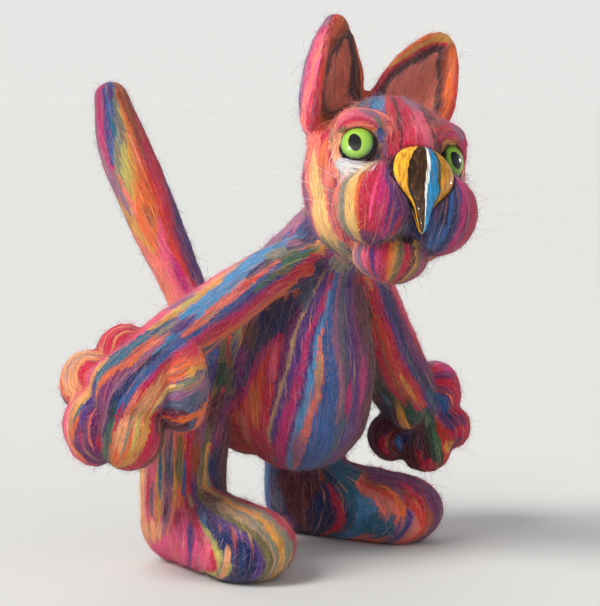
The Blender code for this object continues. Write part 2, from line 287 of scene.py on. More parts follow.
@dataclass(frozen=True)
class Part:
    """A part of the figure whose wool is laid in one way.

    Its forms come in groups, and a fold is pressed between one group and the next. The starts of
    its locks are given at the lengths in stations, in mm along its line. The last one holds on.
    """

    name: str
    groups: tuple[tuple, ...]
    line: Limb
    locks: tuple[Lock, ...]
    stations: tuple[float, ...] = ()
    tufts: tuple[Tuft, ...] = ()
    girth: float = 20.0
    skirt: float = 1000.0
    fold: float = 1.0
    in_head: bool = False
    least_reach: float = 4.0

    def depths(self, points: Array) -> list[Array]:
        """Distance of points from the skin of each of the part's groups."""
        return [np.min([form.depth(points) for form in group], axis=0) for group in self.groups]

    def facing(self) -> Array:
        """The direction that angles are counted from, in the part's frame."""
        turn = head_matrix().to_3x3().transposed()
        return np.array(turn @ Vector(FACING)) if self.in_head else FACING

    def place(self, points: Array) -> dict[str, Array]:
        """Where points lie on the part.

        Args:
            points: Places in the part's frame, in mm.

        Returns:
            The angle round the part's line, the length along it, the direction round it, and the
            distance from it.
        """
        found = self.line.nearest(points)
        run = found["run"]
        front = self.facing()
        front = unit(front - np.einsum("ij,j->i", run, front)[:, None] * run)
        side = np.cross(run, front)
        offset = points - found["axis"]
        angle = np.degrees(np.arctan2(dots(offset, side), dots(offset, front)))[:, 0]
        out = offset - dots(offset, run) * run
        reach = np.linalg.norm(out, axis=1)
        return {"angle": angle, "along": found["along"] - np.maximum(reach - self.skirt, 0.0),
                "hoop": np.cross(run, unit(out)),
                "reach": np.maximum(reach, self.least_reach)}


def head_matrix() -> Matrix:
    """The head's own frame in the drawing: it turns to the cat's right and leans to its left."""
    return Matrix.Translation((-0.5, -50.0, 152.5)) @ turned(-30.0, "Z") @ turned(10.0, "Y")


def head_points(points: Array) -> Array:
    """Drawing points in the head's own frame."""
    return moved(points, head_matrix().inverted())


def lobe_line(lobe: Lobe, run: Point) -> Limb:
    """A short line through a lobe, for a part that is one lobe.

    Args:
        lobe: The lobe.
        run: The line's direction.

    Returns:
        The line.
    """
    centre, width = np.array(lobe.centre), min(lobe.radii)
    step = unit(np.array(run)) * width * 0.7
    return Limb(((*(centre - step), width), (*(centre + step), width)))


# Rows up an ear: height, half width, thickness behind, depth of the hollow and curl, in mm
EAR_SECTIONS = np.array((
    (-14.0, 6.0, 4.0, 0.0, 0.0), (-7.0, 11.0, 7.0, 0.0, 1.0), (0.0, 15.2, 10.0, 3.0, 3.0),
    (8.0, 17.0, 11.5, 8.0, 5.0), (16.0, 16.8, 11.5, 8.6, 5.5), (23.5, 15.0, 10.5, 8.0, 5.0),
    (30.0, 12.4, 9.0, 6.6, 4.0), (36.0, 9.2, 7.0, 4.6, 2.6), (40.5, 5.9, 4.6, 1.5, 1.2),
    (43.0, 2.8, 2.4, 0.0, 0.4)))


@dataclass(frozen=True)
class EarPart(Part):
    """An ear. Angles are 0 in the middle of its hollow, 90 on its rim and 180 on its back."""

    frame: Matrix = Matrix.Identity(4)
    top: float = 43.0
    root: float = 2.0
    wall: float = 4.4
    rim: float = 0.86

    def sections(self, points: Array) -> tuple[Array, ...]:
        """The ear at the height of each point.

        Args:
            points: Places in the head's frame, in mm.

        Returns:
            The points in the ear's own frame, and the width, back, hollow and curl beside them.
        """
        local = moved(points, self.frame.inverted())
        return local, *(np.interp(local[:, 2], EAR_SECTIONS[:, 0], EAR_SECTIONS[:, k])
                        for k in range(1, 5))

    def depths(self, points: Array) -> list[Array]:
        """Distance of points from the ear's outer skin.

        Args:
            points: Places in the head's frame, in mm.

        Returns:
            One row of distances, for the ear's only group.
        """
        local, half, back, _, _ = self.sections(points)
        across = np.hypot(local[:, 0] / half, local[:, 1] / back) - 1.0
        beyond = np.maximum(local[:, 2] - self.top, -local[:, 2] - self.root)
        return [np.maximum(across * back, beyond)]

    def place(self, points: Array) -> dict[str, Array]:
        """Where points lie on the ear.

        Args:
            points: Places in the head's frame, in mm.

        Returns:
            The angle from the hollow's middle, the height, the direction round the ear, and its
            half width.
        """
        local, half, back, hollow, curl = self.sections(points)
        share = np.clip(local[:, 0] / half, -1.0, 1.0)
        inward = smoothstep(self.rim - np.abs(share), 0.0, 0.5)
        middle = (((back - np.minimum(self.wall, back)) * np.sqrt(1.0 - share ** 2)
                   + hollow * inward) / 2.0 - curl * share ** 2)
        swing = np.degrees(np.arcsin(share))
        behind = np.where(share < 0.0, -180.0 - swing, 180.0 - swing)
        angle = np.where(local[:, 1] < middle, swing, behind)
        out = np.stack((local[:, 0] / half, (local[:, 1] - middle) / back,
                        np.zeros(len(local))), axis=1)
        hoop = np.cross(np.array((0.0, 0.0, 1.0)), unit(out))
        return {"angle": angle, "along": local[:, 2],
                "hoop": hoop @ np.array(self.frame)[:3, :3].T,
                "reach": np.maximum(half, self.least_reach)}


# A short name for the dyes in the tables, which run round each part from its back
W = Wool

TAIL_AT = (45, 65, 85, 105, 125, 140)
TAIL_LOCKS = locks(
    (W.PURPLE, -180), (W.NAVY, -155), (W.TEAL, -130), (W.VIOLET, -108), (W.SALMON, -85),
    (W.OCHRE, -20, -24, -82, -85),
    (W.MAUVE, -20, -24, -48, -76, -85),
    (W.MAGENTA, -20, -24, -48, -42, -62, -56),
    (W.VIOLET, -20, -24, -48, -42, -38, -24),
    (W.STEEL, -20, -24, -48, -42, -22, -15),
    (W.GREY_GREEN, -20, -24, -48, -42, -5, 6),
    (W.LIME, -20, -24, -48, -24, 18, 14),
    (W.OCHRE, -20, -24, -48, 0, 20, 16),
    (W.ORANGE, -20, -24, -42, 16, 27, 22),
    (W.PINK, -20, -24, 18, 26, 33, 30),
    (W.RED_ORANGE, 22, 10, 18, 26, 33, 30),
    (W.RUST, 22, 24, 26, 34, 36, 32),
    (W.CRIMSON, 22, 26, 30, 37, 54, 88),
    (W.VIOLET, 34, 38, 58, 86, 88),
    (W.NAVY, 92), (W.MAGENTA, 114), (W.OCHRE, 138), (W.CRIMSON, 154))
TAIL_TUFTS = tufts(
    (W.MAGENTA, 6, 54, 12, 9), (W.RUST, -4, 84, 8, 5), (W.RUST, 52, 138, 22, 9),
    (W.VIOLET, 5, 143, 12, 4), (W.SALMON, 22, 112, 4, 12), (W.TEAL, -8, 128, 7, 5),
    (W.SALMON, -34, 96, 7, 9), (W.PURPLE, 46, 66, 8, 12))

TORSO_AT = (5, 20, 35, 50, 65, 80, 95)
TORSO_LOCKS = locks(
    (W.NAVY, -180), (W.TEAL, -166), (W.CRIMSON, -152), (W.ORANGE, -138), (W.OCHRE, -130),
    (W.STEEL, -118), (W.MAUVE, -108, -108, -108, -108, -108, -110, -112),
    # The olive lock on the cat's right side, between the arm, the leg and the belly, is painted
    # shade laid where that side lies in shade
    (W.OLIVE, -100, -100, -64, -70, -74, -80, -74),
    (W.PURPLE, -98, -70, -47, -52, -58, -60),
    (W.NAVY, -98, -70, -43, -42, -44, -44, -50),
    (W.MAGENTA, -98, -68, -43, -30, -8, 2, 8),
    (W.RED_ORANGE, -96, -62, -36, -22, -8, 2, 8),
    (W.CRIMSON, -48, -38, -22, -19, -8, 2, 8),
    (W.PURPLE, -24, -20, -13, -9, -8, 2, 8),
    (W.TAN, -24, -19, -10, -3, 0, 7, 14),
    (W.VIOLET, -21, -16, -7, -0.4, 2.6, 9.4, 17),
    (W.MAGENTA, -18, -10, -1, 5, 9, 18, 24),
    (W.VIOLET, -7, -1, 6, 10, 13, 22, 27),
    (W.SKY, -5, 2, 9, 13, 16, 24, 28),
    (W.SALMON, 2, 8, 15, 17, 19, 27, 30),
    (W.STEEL, 9, 14, 20, 22, 22, 27, 30),
    (W.MAUVE, 34, 33, 33, 31, 30, 33, 35),
    (W.SLATE, 34, 34, 38, 35, 34, 37, 40),
    (W.VIOLET, 40, 42, 43, 40, 40, 44, 48),
    (W.PURPLE, 48, 50, 49, 48, 47, 52, 57),
    (W.MAROON, 64, 62, 60, 60, 58, 58, 64),
    (W.DARK_GREEN, 88), (W.OCHRE, 102), (W.PINK, 114), (W.VIOLET, 130), (W.SKY, 148),
    (W.SLATE, 164))
TORSO_TUFTS = tufts(
    (W.ORANGE, -30, 30, 6, 9), (W.SALMON, -46, 20, 7, 7), (W.CRIMSON, -30, 12, 14, 5),
    (W.GREY_GREEN, 28, 101, 14, 5), (W.OCHRE, -6, 102, 10, 4), (W.MAUVE, -66, 98, 14, 7),
    (W.STEEL, -54, 93, 12, 5), (W.SLATE, 4, 84, 6, 8), (W.MAUVE, 6, 12, 6, 7),
    (W.MAGENTA, 41, 34, 2.5, 10), (W.MAGENTA, 54, 40, 4, 12), (W.TAN, 19, 46, 2, 9),
    (W.PINK, -14, 48, 3, 8), (W.BROWN, -46, 57, 8, 6))

RIGHT_ARM_AT = (5, 20, 40, 60, 75, 90, 103, 116)
RIGHT_ARM_LOCKS = locks(
    (W.VIOLET, -180), (W.CRIMSON, -160), (W.NAVY, -138), (W.MAROON, -116), (W.ORANGE, -100),
    (W.NAVY, -84, -75, -82, -70, -66, -65, -86, -100),
    (W.SLATE, -12, -75, -82, -66, -64, -63, -84, -100),
    (W.MAROON, -12, -75, -82, -58, -39, -51, -84, -98),
    (W.CRIMSON, -12, -75, -82, -58, -39, -51, -58, -66),
    (W.OCHRE, -12, -75, -82, -58, -39, -51, -50, -44),
    (W.ORANGE, -12, -75, -80, -54, -34, -44, -40, -30),
    (W.CRIMSON, -12, -54, -62, -42, -25, -26, -14, 2),
    (W.MAGENTA, 4, -26, -38, -25, -18, -18, -5, 2),
    (W.VIOLET, 4, -22, -27, -20, -15, -14, -1, 2),
    (W.GREEN, 8, -15, -16, -19, -13, -13, 0, 3),
    (W.STEEL, 18, 0, -16, -19, -13, -13, 1, 26),
    (W.SALMON, 22, 11, -4, -9, -4, -7, 8, 27),
    (W.SLATE, 30, 19, 9, -1, -4, -9, 4, 27),
    (W.NAVY, 40, 28, 11.5, 2, -1, -6, 6, 27),
    (W.SKY, 50, 37, 14, 5, 1, 6, 32, 28),
    (W.MAUVE, 84, 84, 42, 30, 8, 7, 20, 28),
    (W.PURPLE, 84, 84, 42, 33, 20, 12, 26, 36),
    (W.ORANGE, 84, 84, 42, 34, 24, 14, 56, 74),
    (W.TEAL, 84, 84, 42, 35, 31, 34, 60, 80),
    (W.OCHRE, 84, 84, 43, 36, 46, 54, 66, 81),
    (W.PEACH, 84, 84, 48, 50, 50, 57, 74, 82),
    (W.PINK, 85, 85, 66, 57, 52, 60, 88, 86),
    (W.CRIMSON, 88, 88, 86, 84, 78, 80, 98),
    (W.PURPLE, 112), (W.STEEL, 134), (W.OCHRE, 156))
RIGHT_ARM_TUFTS = tufts(
    (W.OLIVE, -8, 18, 9, 4), (W.GREEN, 12, 14, 16, 4), (W.GREY_GREEN, 38, 17, 14, 4),
    (W.MAUVE, 50, 9, 16, 3), (W.RED_ORANGE, -30, 10, 18, 4), (W.RED_ORANGE, 7, 33, 4, 7),
    (W.TAN, -3, 52, 3, 8), (W.MAUVE, 9, 43, 2.5, 9), (W.VIOLET, 14, 64, 10, 6),
    (W.LIME, 48, 55, 6, 7), (W.MAUVE, 66, 56, 12, 7), (W.SALMON, 18, 78, 6, 7),
    (W.GREY_GREEN, 28, 70, 4, 6), (W.PEACH, -30, 98, 9, 11), (W.PEACH, -14, 110, 9, 7),
    (W.SALMON, -12, 101, 4, 6), (W.MAUVE, -50, 85, 10, 13), (W.SLATE, -56, 88, 3.5, 10),
    (W.GREY_GREEN, -45, 82, 4, 8), (W.ORANGE, -66, 93, 2.6, 9), (W.STEEL, -4, 95, 5, 9),
    (W.DARK_GREEN, 12, 112, 6, 10), (W.SALMON, 48, 112, 2.4, 9), (W.MAGENTA, 62, 114, 2.4, 7),
    (W.CRIMSON, 34, 115, 6, 3), (W.VIOLET, 60, 104, 5, 7), (W.CRIMSON, 84, 82, 22, 9),
    (W.PEACH, 100, 96, 15, 8), (W.ORANGE, 112, 98, 5, 7), (W.CRIMSON, 86, 95, 3, 5),
    (W.YELLOW, -44, 93, 4, 7), (W.GREY_GREEN, -22, 109, 2.2, 12), (W.LIME, -33, 106, 2.4, 10),
    (W.CRIMSON, -60, 110, 9, 9), (W.MAROON, -66, 104, 8, 4))

LEFT_ARM_AT = (10, 30, 50, 70, 90, 110)
LEFT_ARM_LOCKS = locks(
    (W.VIOLET, -180), (W.TEAL, -156), (W.OCHRE, -134), (W.MAUVE, -116), (W.PINK, -100),
    (W.CRIMSON, -64, -66, -76, -98, -96, -98),
    (W.PURPLE, -52, -56, -64, -78, -58, -50),
    (W.NAVY, -44, -46, -40, -48, -52, -44),
    (W.VIOLET, -24, -28, -30, -26, -40, -44),
    (W.CRIMSON, -14, -18, -20, -26, -22, -44),
    (W.RED_ORANGE, 16, -4, -9, -18, -22, -44),
    (W.RUST, 18, 6, 5, 0, -22, -24),
    (W.CRIMSON, 24, 12, 14, 9, -22, -24),
    (W.DARK_GREEN, 34, 30, 28, 22, -22, -24),
    (W.MAROON, 52, 50, 50, 48, -2, -5),
    (W.NAVY, 96), (W.CRIMSON, 124), (W.ORANGE, 148), (W.PINK, 162))
LEFT_ARM_TUFTS = tufts(
    (W.CRIMSON, -64, 94, 9, 9), (W.SALMON, -54, 91, 1.8, 9), (W.STEEL, -45, 88, 5, 9),
    (W.TEAL, -34, 86, 6, 8), (W.OCHRE, -6, 67, 4, 8), (W.OCHRE, 22, 80, 6, 9),
    (W.DARK_GREEN, 7, 80, 6, 8), (W.TEAL, 42, 76, 6, 9), (W.NAVY, 58, 82, 8, 9),
    (W.CRIMSON, 60, 104, 5, 8), (W.STEEL, 44, 106, 3, 6), (W.NAVY, 30, 103, 14, 4),
    (W.PURPLE, -52, 101, 9, 2.4), (W.CRIMSON, -44, 105, 9, 2.6), (W.OCHRE, -36, 111, 9, 2.6),
    (W.GREEN, -18, 108, 6, 8), (W.CRIMSON, 2, 118, 16, 4), (W.MAGENTA, -90, 86, 10, 4),
    (W.PURPLE, -78, 82, 5, 6), (W.CRIMSON, 12, 112, 6, 3), (W.GREEN, -8, 92, 6, 7),
    (W.ORANGE, -2, 7, 7, 6))

LEG_AT = (-28, -14, 0, 14, 26, 40, 60, 85)
RIGHT_LEG_LOCKS = locks(
    (W.STEEL, -180), (W.CRIMSON, -160), (W.OCHRE, -140), (W.VIOLET, -122), (W.YELLOW, -98),
    (W.PEACH, -97, -97, -97, -90, -80, -68),
    (W.PINK, -96, -96, -96, -66, -56, -57),
    (W.OCHRE, 16, 11, -6, -24, -38, -38, -36),
    (W.HOT_PINK, 16, 11, -6, -23, -28, -25, -28, -30),
    (W.MAUVE, 16, 11, -6, -20, -25, -24, -27, -29),
    (W.SALMON, 16, 11, -6, -18, -12, -11, -14, -16),
    (W.ORANGE, 16, 11, -2, -9, -5, -3, -6, -8),
    (W.HOT_PINK, 17, 12, 3, -4, 1, 3, 0, -2),
    (W.CRIMSON, 20, 14, 10, 6, 4, 3, 4, 2),
    (W.LIME, 21, 15.5, 13.5, 11.6, 11, 10.5, 13, 7),
    (W.NAVY, 23.4, 17.4, 15, 13, 12, 12, 14, 8),
    (W.VIOLET, 30, 24, 19.5, 17, 13, 12, 20, 14),
    (W.OLIVE, 33, 27, 23, 20, 18, 20, 26, 20),
    (W.TAN, 36, 31, 26, 24, 22, 25, 31, 24),
    (W.GREY_GREEN, 37, 32, 30, 28, 28, 28, 32, 26),
    (W.OCHRE, 38.5, 34.5, 33, 30, 29, 29, 33, 28),
    (W.GREY_GREEN, 42, 39, 38, 35, 36, 36, 34, 30),
    (W.CRIMSON, 50, 44, 42, 39, 40, 40, 36, 32),
    (W.NAVY, 64, 62, 60, 54, 50, 44, 42, 38),
    (W.MAROON, 76, 74, 70, 62, 58, 56, 54, 50),
    (W.BROWN, 92), (W.PURPLE, 114), (W.ORANGE, 142), (W.PINK, 158))
RIGHT_LEG_TUFTS = tufts(
    (W.TEAL, -30, 44, 3, 10), (W.SLATE, -44, 32, 3, 9), (W.MAROON, -20, 28, 3, 6),
    (W.OCHRE, -9, 40, 3, 12), (W.STEEL, 3, 40, 3, 9), (W.MAUVE, 22, 58, 5, 8),
    (W.HOT_PINK, -30, 11, 34, 5), (W.HOT_PINK, 4, 1, 8, 9), (W.VIOLET, 7, 5, 2.2, 8),
    (W.PINK, -8, 12, 5, 7), (W.PINK, 13, -9, 1.6, 6), (W.PEACH, -48, 20, 26, 4),
    (W.CRIMSON, -3, 21, 4, 5), (W.SLATE, -17, 46, 5, 7), (W.RUST, 17, 48, 6, 8),
    (W.PURPLE, 46, 60, 10, 8), (W.NAVY, 46, 46, 8, 7), (W.MAROON, 34, 66, 10, 7),
    (W.STEEL, 10, 86, 8, 6), (W.OLIVE, -4, 47, 5, 7), (W.BROWN, 27, 26, 6, 8),
    (W.TAN, 10, 30, 2.4, 6), (W.PEACH, 20, -19, 1.0, 5), (W.DARK_GREEN, 30, 79, 9, 6),
    (W.CRIMSON, -52, 34, 4, 9), (W.SKY, 15, 12, 1.8, 7))
LEFT_LEG_LOCKS = locks(
    (W.NAVY, -180), (W.PURPLE, -160), (W.MAROON, -136), (W.STEEL, -114), (W.SKY, -100),
    (W.STEEL, -100, -100, -98, -84, -72),
    (W.NAVY, -100, -100, -96, -62, -55, -56),
    (W.MAROON, 44, 32, 18, -24, -38, -40),
    (W.NAVY, 44, 32, 19, 4, 14, 15, 16, 12),
    (W.CRIMSON, 44, 32, 26, 22, 23, 18, 18, 14),
    (W.NAVY, 44, 32, 29.5, 27, 25, 19, 19, 15),
    (W.TEAL, 45, 35, 31, 30, 33, 30, 28, 26),
    (W.SALMON, 49, 41, 37, 37, 56, 58, 60),
    (W.RED_ORANGE, 53, 47, 42, 40, 56, 58, 60),
    (W.RUST, 55, 51, 45, 42, 56, 58, 60),
    (W.PURPLE, 58, 55, 49, 46, 58, 60, 62),
    (W.MAGENTA, 72, 70, 68, 66, 72, 74, 76),
    (W.NAVY, 94), (W.VIOLET, 112), (W.ORANGE, 128), (W.GREEN, 142), (W.STEEL, 158))
LEFT_LEG_TUFTS = tufts(
    (W.RUST, 20, 32, 3, 6), (W.VIOLET, 47, -22, 2.4, 6), (W.MAROON, 8, 28, 8, 8),
    (W.SLATE, -44, 21, 12, 4), (W.SKY, 36, 0, 2.4, 9), (W.ORANGE, 46, -8, 1.1, 12),
    (W.CRIMSON, 53, -10, 1.6, 12), (W.VIOLET, -30, 12, 12, 3))

HEAD_AT = (-8, 8, 22, 34, 46, 58, 72)
HEAD_LOCKS = locks(
    (W.PURPLE, -180), (W.STEEL, -166), (W.CRIMSON, -148), (W.ORANGE, -130), (W.VIOLET, -114),
    (W.MAUVE, -100),
    (W.PURPLE, -96, -86, -84),
    (W.SALMON, -80, -68, -74, -76, -74, -66, -60),
    (W.YELLOW, -78, -62, -64, -62, -62, -60, -56),
    (W.SALMON, -43, -45, -50, -61, -61, -59, -55),
    (W.CRIMSON, -36, -38, -36, -50, -50, -50, -48),
    (W.PEACH, -30, -34, -35, -44),
    (W.MAUVE, -28, -32, -22, -22, -30, -36, -38),
    (W.STEEL, -12, -12, -10, -9, -15, -27, -30),
    (W.CRIMSON, -1, -1, -1, 0, -2, -5, -8),
    (W.MAROON, 8, 8, 8, 8, 6, 4, 0),
    (W.CRIMSON, 10, 10, 10, 10, 9, 8, 4),
    (W.PINK, 20, 20, 20, 20, 20, 18, 17),
    (W.MAROON, 30, 30, 30, 30, 30, 27, 26),
    (W.RUST, 38, 38, 38, 38, 40, 38),
    (W.MAGENTA, 50, 50, 50, 50, 52, 50),
    (W.ORANGE, 66, 66, 66, 66, 66, 64, 62),
    (W.PURPLE, 80, 80, 80, 80, 78, 76, 74),
    (W.NAVY, 98), (W.TEAL, 114), (W.OCHRE, 130), (W.CRIMSON, 142), (W.PINK, 158))
HEAD_TUFTS = tufts(
    (W.OLIVE, -40, 38, 5, 5), (W.MAUVE, -2, 27, 3, 5), (W.CRIMSON, -50, 36, 4, 5),
    (W.SKY, -9, 50, 5, 5), (W.SLATE, -24, 51, 7, 5), (W.MAUVE, -3, 33, 4, 7),
    (W.OLIVE, -66, -3, 12, 4), (W.MAGENTA, -88, 22, 7, 10), (W.ORANGE, -48, 28, 5, 8),
    (W.MAUVE, 24, 54, 8, 6), (W.GREY_GREEN, -44, -6, 10, 3), (W.YELLOW, -60, 4, 5, 8))
CHIN_LOCKS = locks(
    (W.NAVY, -180), (W.PEACH, -96), (W.MAUVE, -70), (W.SLATE, -58), (W.CRIMSON, -48),
    (W.VIOLET, -36), (W.MAGENTA, -28), (W.CRIMSON, -18), (W.ORANGE, -6), (W.OCHRE, 2),
    (W.OLIVE, 10), (W.CRIMSON, 20), (W.MAROON, 34), (W.OCHRE, 44), (W.OLIVE, 52), (W.MAGENTA, 62),
    (W.PURPLE, 76), (W.NAVY, 92))
# The navy and black tufts along the chin's top are painted shade in the crease under the cheeks;
# the pink tuft is the chin's own wool
CHIN_TUFTS = tufts((W.NAVY, 0, 18, 60, 3.8), (W.BLACK, 26, 17, 24, 4.2), (W.PINK, -46, 5, 7, 8))
CHEEK_AT = (0, 10, 20)
CHEEK_LOCKS = {
    "right": locks(
        (W.NAVY, -180), (W.SALMON, -100), (W.GREY_GREEN, -72, -68, -66),
        (W.YELLOW, -47, -53, -52), (W.ORANGE, -26, -33, -36), (W.CRIMSON, -21, -27, -30),
        (W.MAGENTA, 6, 3, -6), (W.VIOLET, 25, 22, 6), (W.PURPLE, 32, 29, 12),
        (W.NAVY, 48, 43, 32), (W.BLACK, 84)),
    "left": locks(
        (W.NAVY, -180), (W.STEEL, -8, -6, -2), (W.NAVY, 0, 1, 4), (W.STEEL, 15),
        (W.NAVY, 19),
        (W.VIOLET, 27, 26, 25), (W.MAGENTA, 34, 33), (W.CRIMSON, 55, 56, 58),
        (W.MAUVE, 70, 72), (W.ORANGE, 92), (W.STEEL, 120))}
# On the right cheek, the navy, black and purple tufts along its lower edge are painted shade where
# the cheek meets the chin; the other tufts are the cheek's own wool
CHEEK_TUFTS = {
    "right": tufts(
        (W.HOT_PINK, -8, 13, 2.6, 9), (W.GREY_GREEN, -55, 8, 3, 8), (W.NAVY, 20, -5, 60, 3.4),
        (W.BLACK, 56, -3, 30, 5), (W.PURPLE, -6, -2, 22, 2.4), (W.VIOLET, 16, 8, 2.6, 10),
        (W.CRIMSON, 34, 3, 4, 5)),
    "left": tufts((W.STEEL, 8, 2, 7, 6), (W.PURPLE, 46, 8, 4, 8))}
LID_LOCKS = locks((W.WHITE, -180), (W.CLOUD, -60), (W.WHITE, -20), (W.CLOUD, 70), (W.WHITE, 100))
BROW_AT = (8, 16, 24, 30)
BROW_LOCKS = {
    "right": locks(
        (W.SALMON, -180), (W.PINK, -60, -60, -50, -40), (W.CRIMSON, -20, -16, 0, 8),
        (W.SALMON, 12, 10, 20, 24), (W.ORANGE, 30, 28, 36, 40),
        (W.PEACH, 48, 44, 50, 54), (W.YELLOW, 78), (W.PEACH, 110), (W.SALMON, 140)),
    "left": locks(
        (W.MAGENTA, -180), (W.CRIMSON, -70), (W.MAGENTA, 0), (W.CRIMSON, 20), (W.RUST, 42),
        (W.OCHRE, 56), (W.OLIVE, 78), (W.RUST, 110))}
BROW_TUFTS = {
    "right": tufts(
        (W.STEEL, 10, 32, 80, 6), (W.CLOUD, -30, 29, 14, 3), (W.GREY_GREEN, -38, 25, 26, 3),
        (W.OLIVE, 16, 8, 22, 3), (W.MAUVE, -60, 21, 40, 3)),
    "left": tufts((W.RUST, -80, 12, 14, 3), (W.MAUVE, -30, 20, 40, 3))}
EAR_AT = (5, 15, 25, 32, 37, 42)
EAR_LOCKS = {
    "right": locks(
        (W.PURPLE, -180), (W.MAUVE, -162), (W.VIOLET, -148, -148, -146, -142, -140),
        (W.MAUVE, -140, -139, -137, -134, -130),
        (W.MAGENTA, -132, -130, -127, -125, -122, -120),
        (W.PINK, -126, -124, -121, -119, -116, -115),
        (W.SALMON, -119, -116, -113, -111, -110),
        (W.PINK, -110, -107, -105, -103, -102, -100),
        (W.CRIMSON, -103, -101, -100, -98, -98, -96),
        (W.MAUVE, -90, -93, -94, -93, -92, -90),
        (W.CRIMSON, -82, -86, -88, -86, -84), (W.RED_ORANGE, -62, -70, -72, -68, -64, -58),
        (W.ORANGE, -44, -46, -44, -36, -26, -16), (W.RUST, -20, -20, -14, -4, 10, 20),
        (W.CHARCOAL, -4, -4, 2, 14, 31, 40), (W.TERRACOTTA, 8, 8, 14, 27, 38, 44),
        (W.CHARCOAL, 40, 39, 38, 35, 38, 44), (W.BROWN, 46, 46, 46, 45, 44, 46),
        (W.ORANGE, 55, 55, 55, 53, 52), (W.CRIMSON, 84), (W.NAVY, 112), (W.STEEL, 142)),
    "left": locks(
        (W.STEEL, -180), (W.VIOLET, -156), (W.CRIMSON, -130), (W.ORANGE, -108), (W.CRIMSON, -94),
        (W.ORANGE, -84, -84, -80),
        (W.OCHRE, -84, -80, -62, -54, -40),
        (W.CRIMSON, -84, -78, -50, -38, -24, 40), (W.MAROON, -66, -62, -42, -28, -12, 40),
        (W.CHARCOAL, -56, -52, -36, -20, -6, 40), (W.DUSTY_PINK, -46, -42, -26, -8, 2, 40),
        (W.TERRACOTTA, -10, -8, -4, 0, 4, 40), (W.CHARCOAL, 34, 33, 25, 8, 6, 40),
        (W.RUST, 41, 40, 31, 20, 14, 40), (W.ORANGE, 47, 46, 39, 35, 30, 42),
        (W.RED_ORANGE, 60, 56, 52, 54, 60, 78),
        (W.MAUVE, 86), (W.TEAL, 108), (W.OCHRE, 136), (W.CRIMSON, 156))}


def tail_part() -> Part:
    """The tail, from its root to its tip.

    Returns:
        The part.
    """
    line = Limb(((0, 28, 60, 11.5), (0, 39, 77, 10), (0, 53.3, 102, 9.2), (0, 60.6, 114, 9.6),
                 (0, 67.6, 125, 10.5), (0, 73.8, 136, 11.1), (0, 80.4, 147, 11.5),
                 (0, 87, 158, 11.3), (0, 92.4, 170, 10.2), (0, 96.4, 182.8, 7.6)))
    return Part("tail", ((line,),), line, TAIL_LOCKS, TAIL_AT, TAIL_TUFTS, 9.0)


def torso_part() -> Part:
    """Belly, chest, back and rump.

    Returns:
        The part.
    """
    belly = Limb(((0, -8, 62.5, 28), (0, -11.5, 80, 27.8), (0, -14, 101, 22.5),
                  (0, -17, 119, 19), (0, -30, 134, 16.5)))
    back = Limb(((0, 13, 68, 28), (0, 3, 91, 24.5), (0, -9, 113, 19.5)))
    rump = Lobe((0, 14, 71), (34, 27, 32))
    line = Limb(((0, -3, 34, 26), (0, -3, 75, 28), (0, -7, 100, 22), (0, -17, 120, 19),
                 (0, -31, 137, 16)))
    return Part("torso", ((belly, back, rump),), line, TORSO_LOCKS, TORSO_AT, TORSO_TUFTS, 26.0)


def arm_parts() -> list[Part]:
    """Both arms, each with its paw, toes and thumb: the wool runs on from one to the other.

    Returns:
        The right arm and the left arm.
    """
    made = []
    for word, arm, paw, toes, thumb, ends, coat in (
            ("right", ((-9, -22, 122, 11), (-23, -17, 118, 10), (-41, -8.5, 107.5, 11),
                       (-64, 3, 90.5, 12.3), (-78, 6.5, 79, 14.5)),
             ((-83.5, 7.5, 73), (15, 17.5, 17)),
             (((-86, 4.5, 58.8), (12.5, 14.5, 14.5)), ((-91.5, 17, 60.8), (11.5, 12.8, 15.6)),
              ((-87, 24.3, 76), (10.8, 11.8, 12.8)), ((-75, 16.5, 87.5), (11, 11.5, 10.5))),
             ((-67, -5, 86, 8.5), (-69.5, -10, 78, 8.8), (-72.5, -11, 67, 8.4)),
             ((-87, 8, 66, 14), (-91, 9.5, 48, 12)),
             (RIGHT_ARM_LOCKS, RIGHT_ARM_AT, RIGHT_ARM_TUFTS)),
            ("left", ((9, -24, 119, 11.5), (21.5, -23, 110, 11), (35, -20, 93, 12.4),
                      (51, -14.5, 74.5, 14), (66, -11, 60, 14)),
             ((73, -10, 53), (14, 15, 15.5)),
             (((78.4, -16.8, 58.4), (11.4, 12.2, 14.2)), ((80.5, -20.5, 44), (11, 12.5, 10.5)),
              ((74, -16, 35.5), (11, 11.5, 11)), ((67.8, -2.4, 39.6), (10.5, 10.5, 11))),
             ((58, -15, 70, 7.4), (57.5, -17.5, 61, 7.8), (58.5, -17.5, 52, 7.4)),
             ((75, -11, 49, 14), (79, -12, 32, 12)),
             (LEFT_ARM_LOCKS, LEFT_ARM_AT, LEFT_ARM_TUFTS))):
        groups = ((Limb(arm), Lobe(*paw)), *((Lobe(*toe),) for toe in toes), (Limb(thumb),))
        made.append(Part(f"{word}_arm", groups, Limb((*arm, *ends)), *coat, 12.0))
    return made


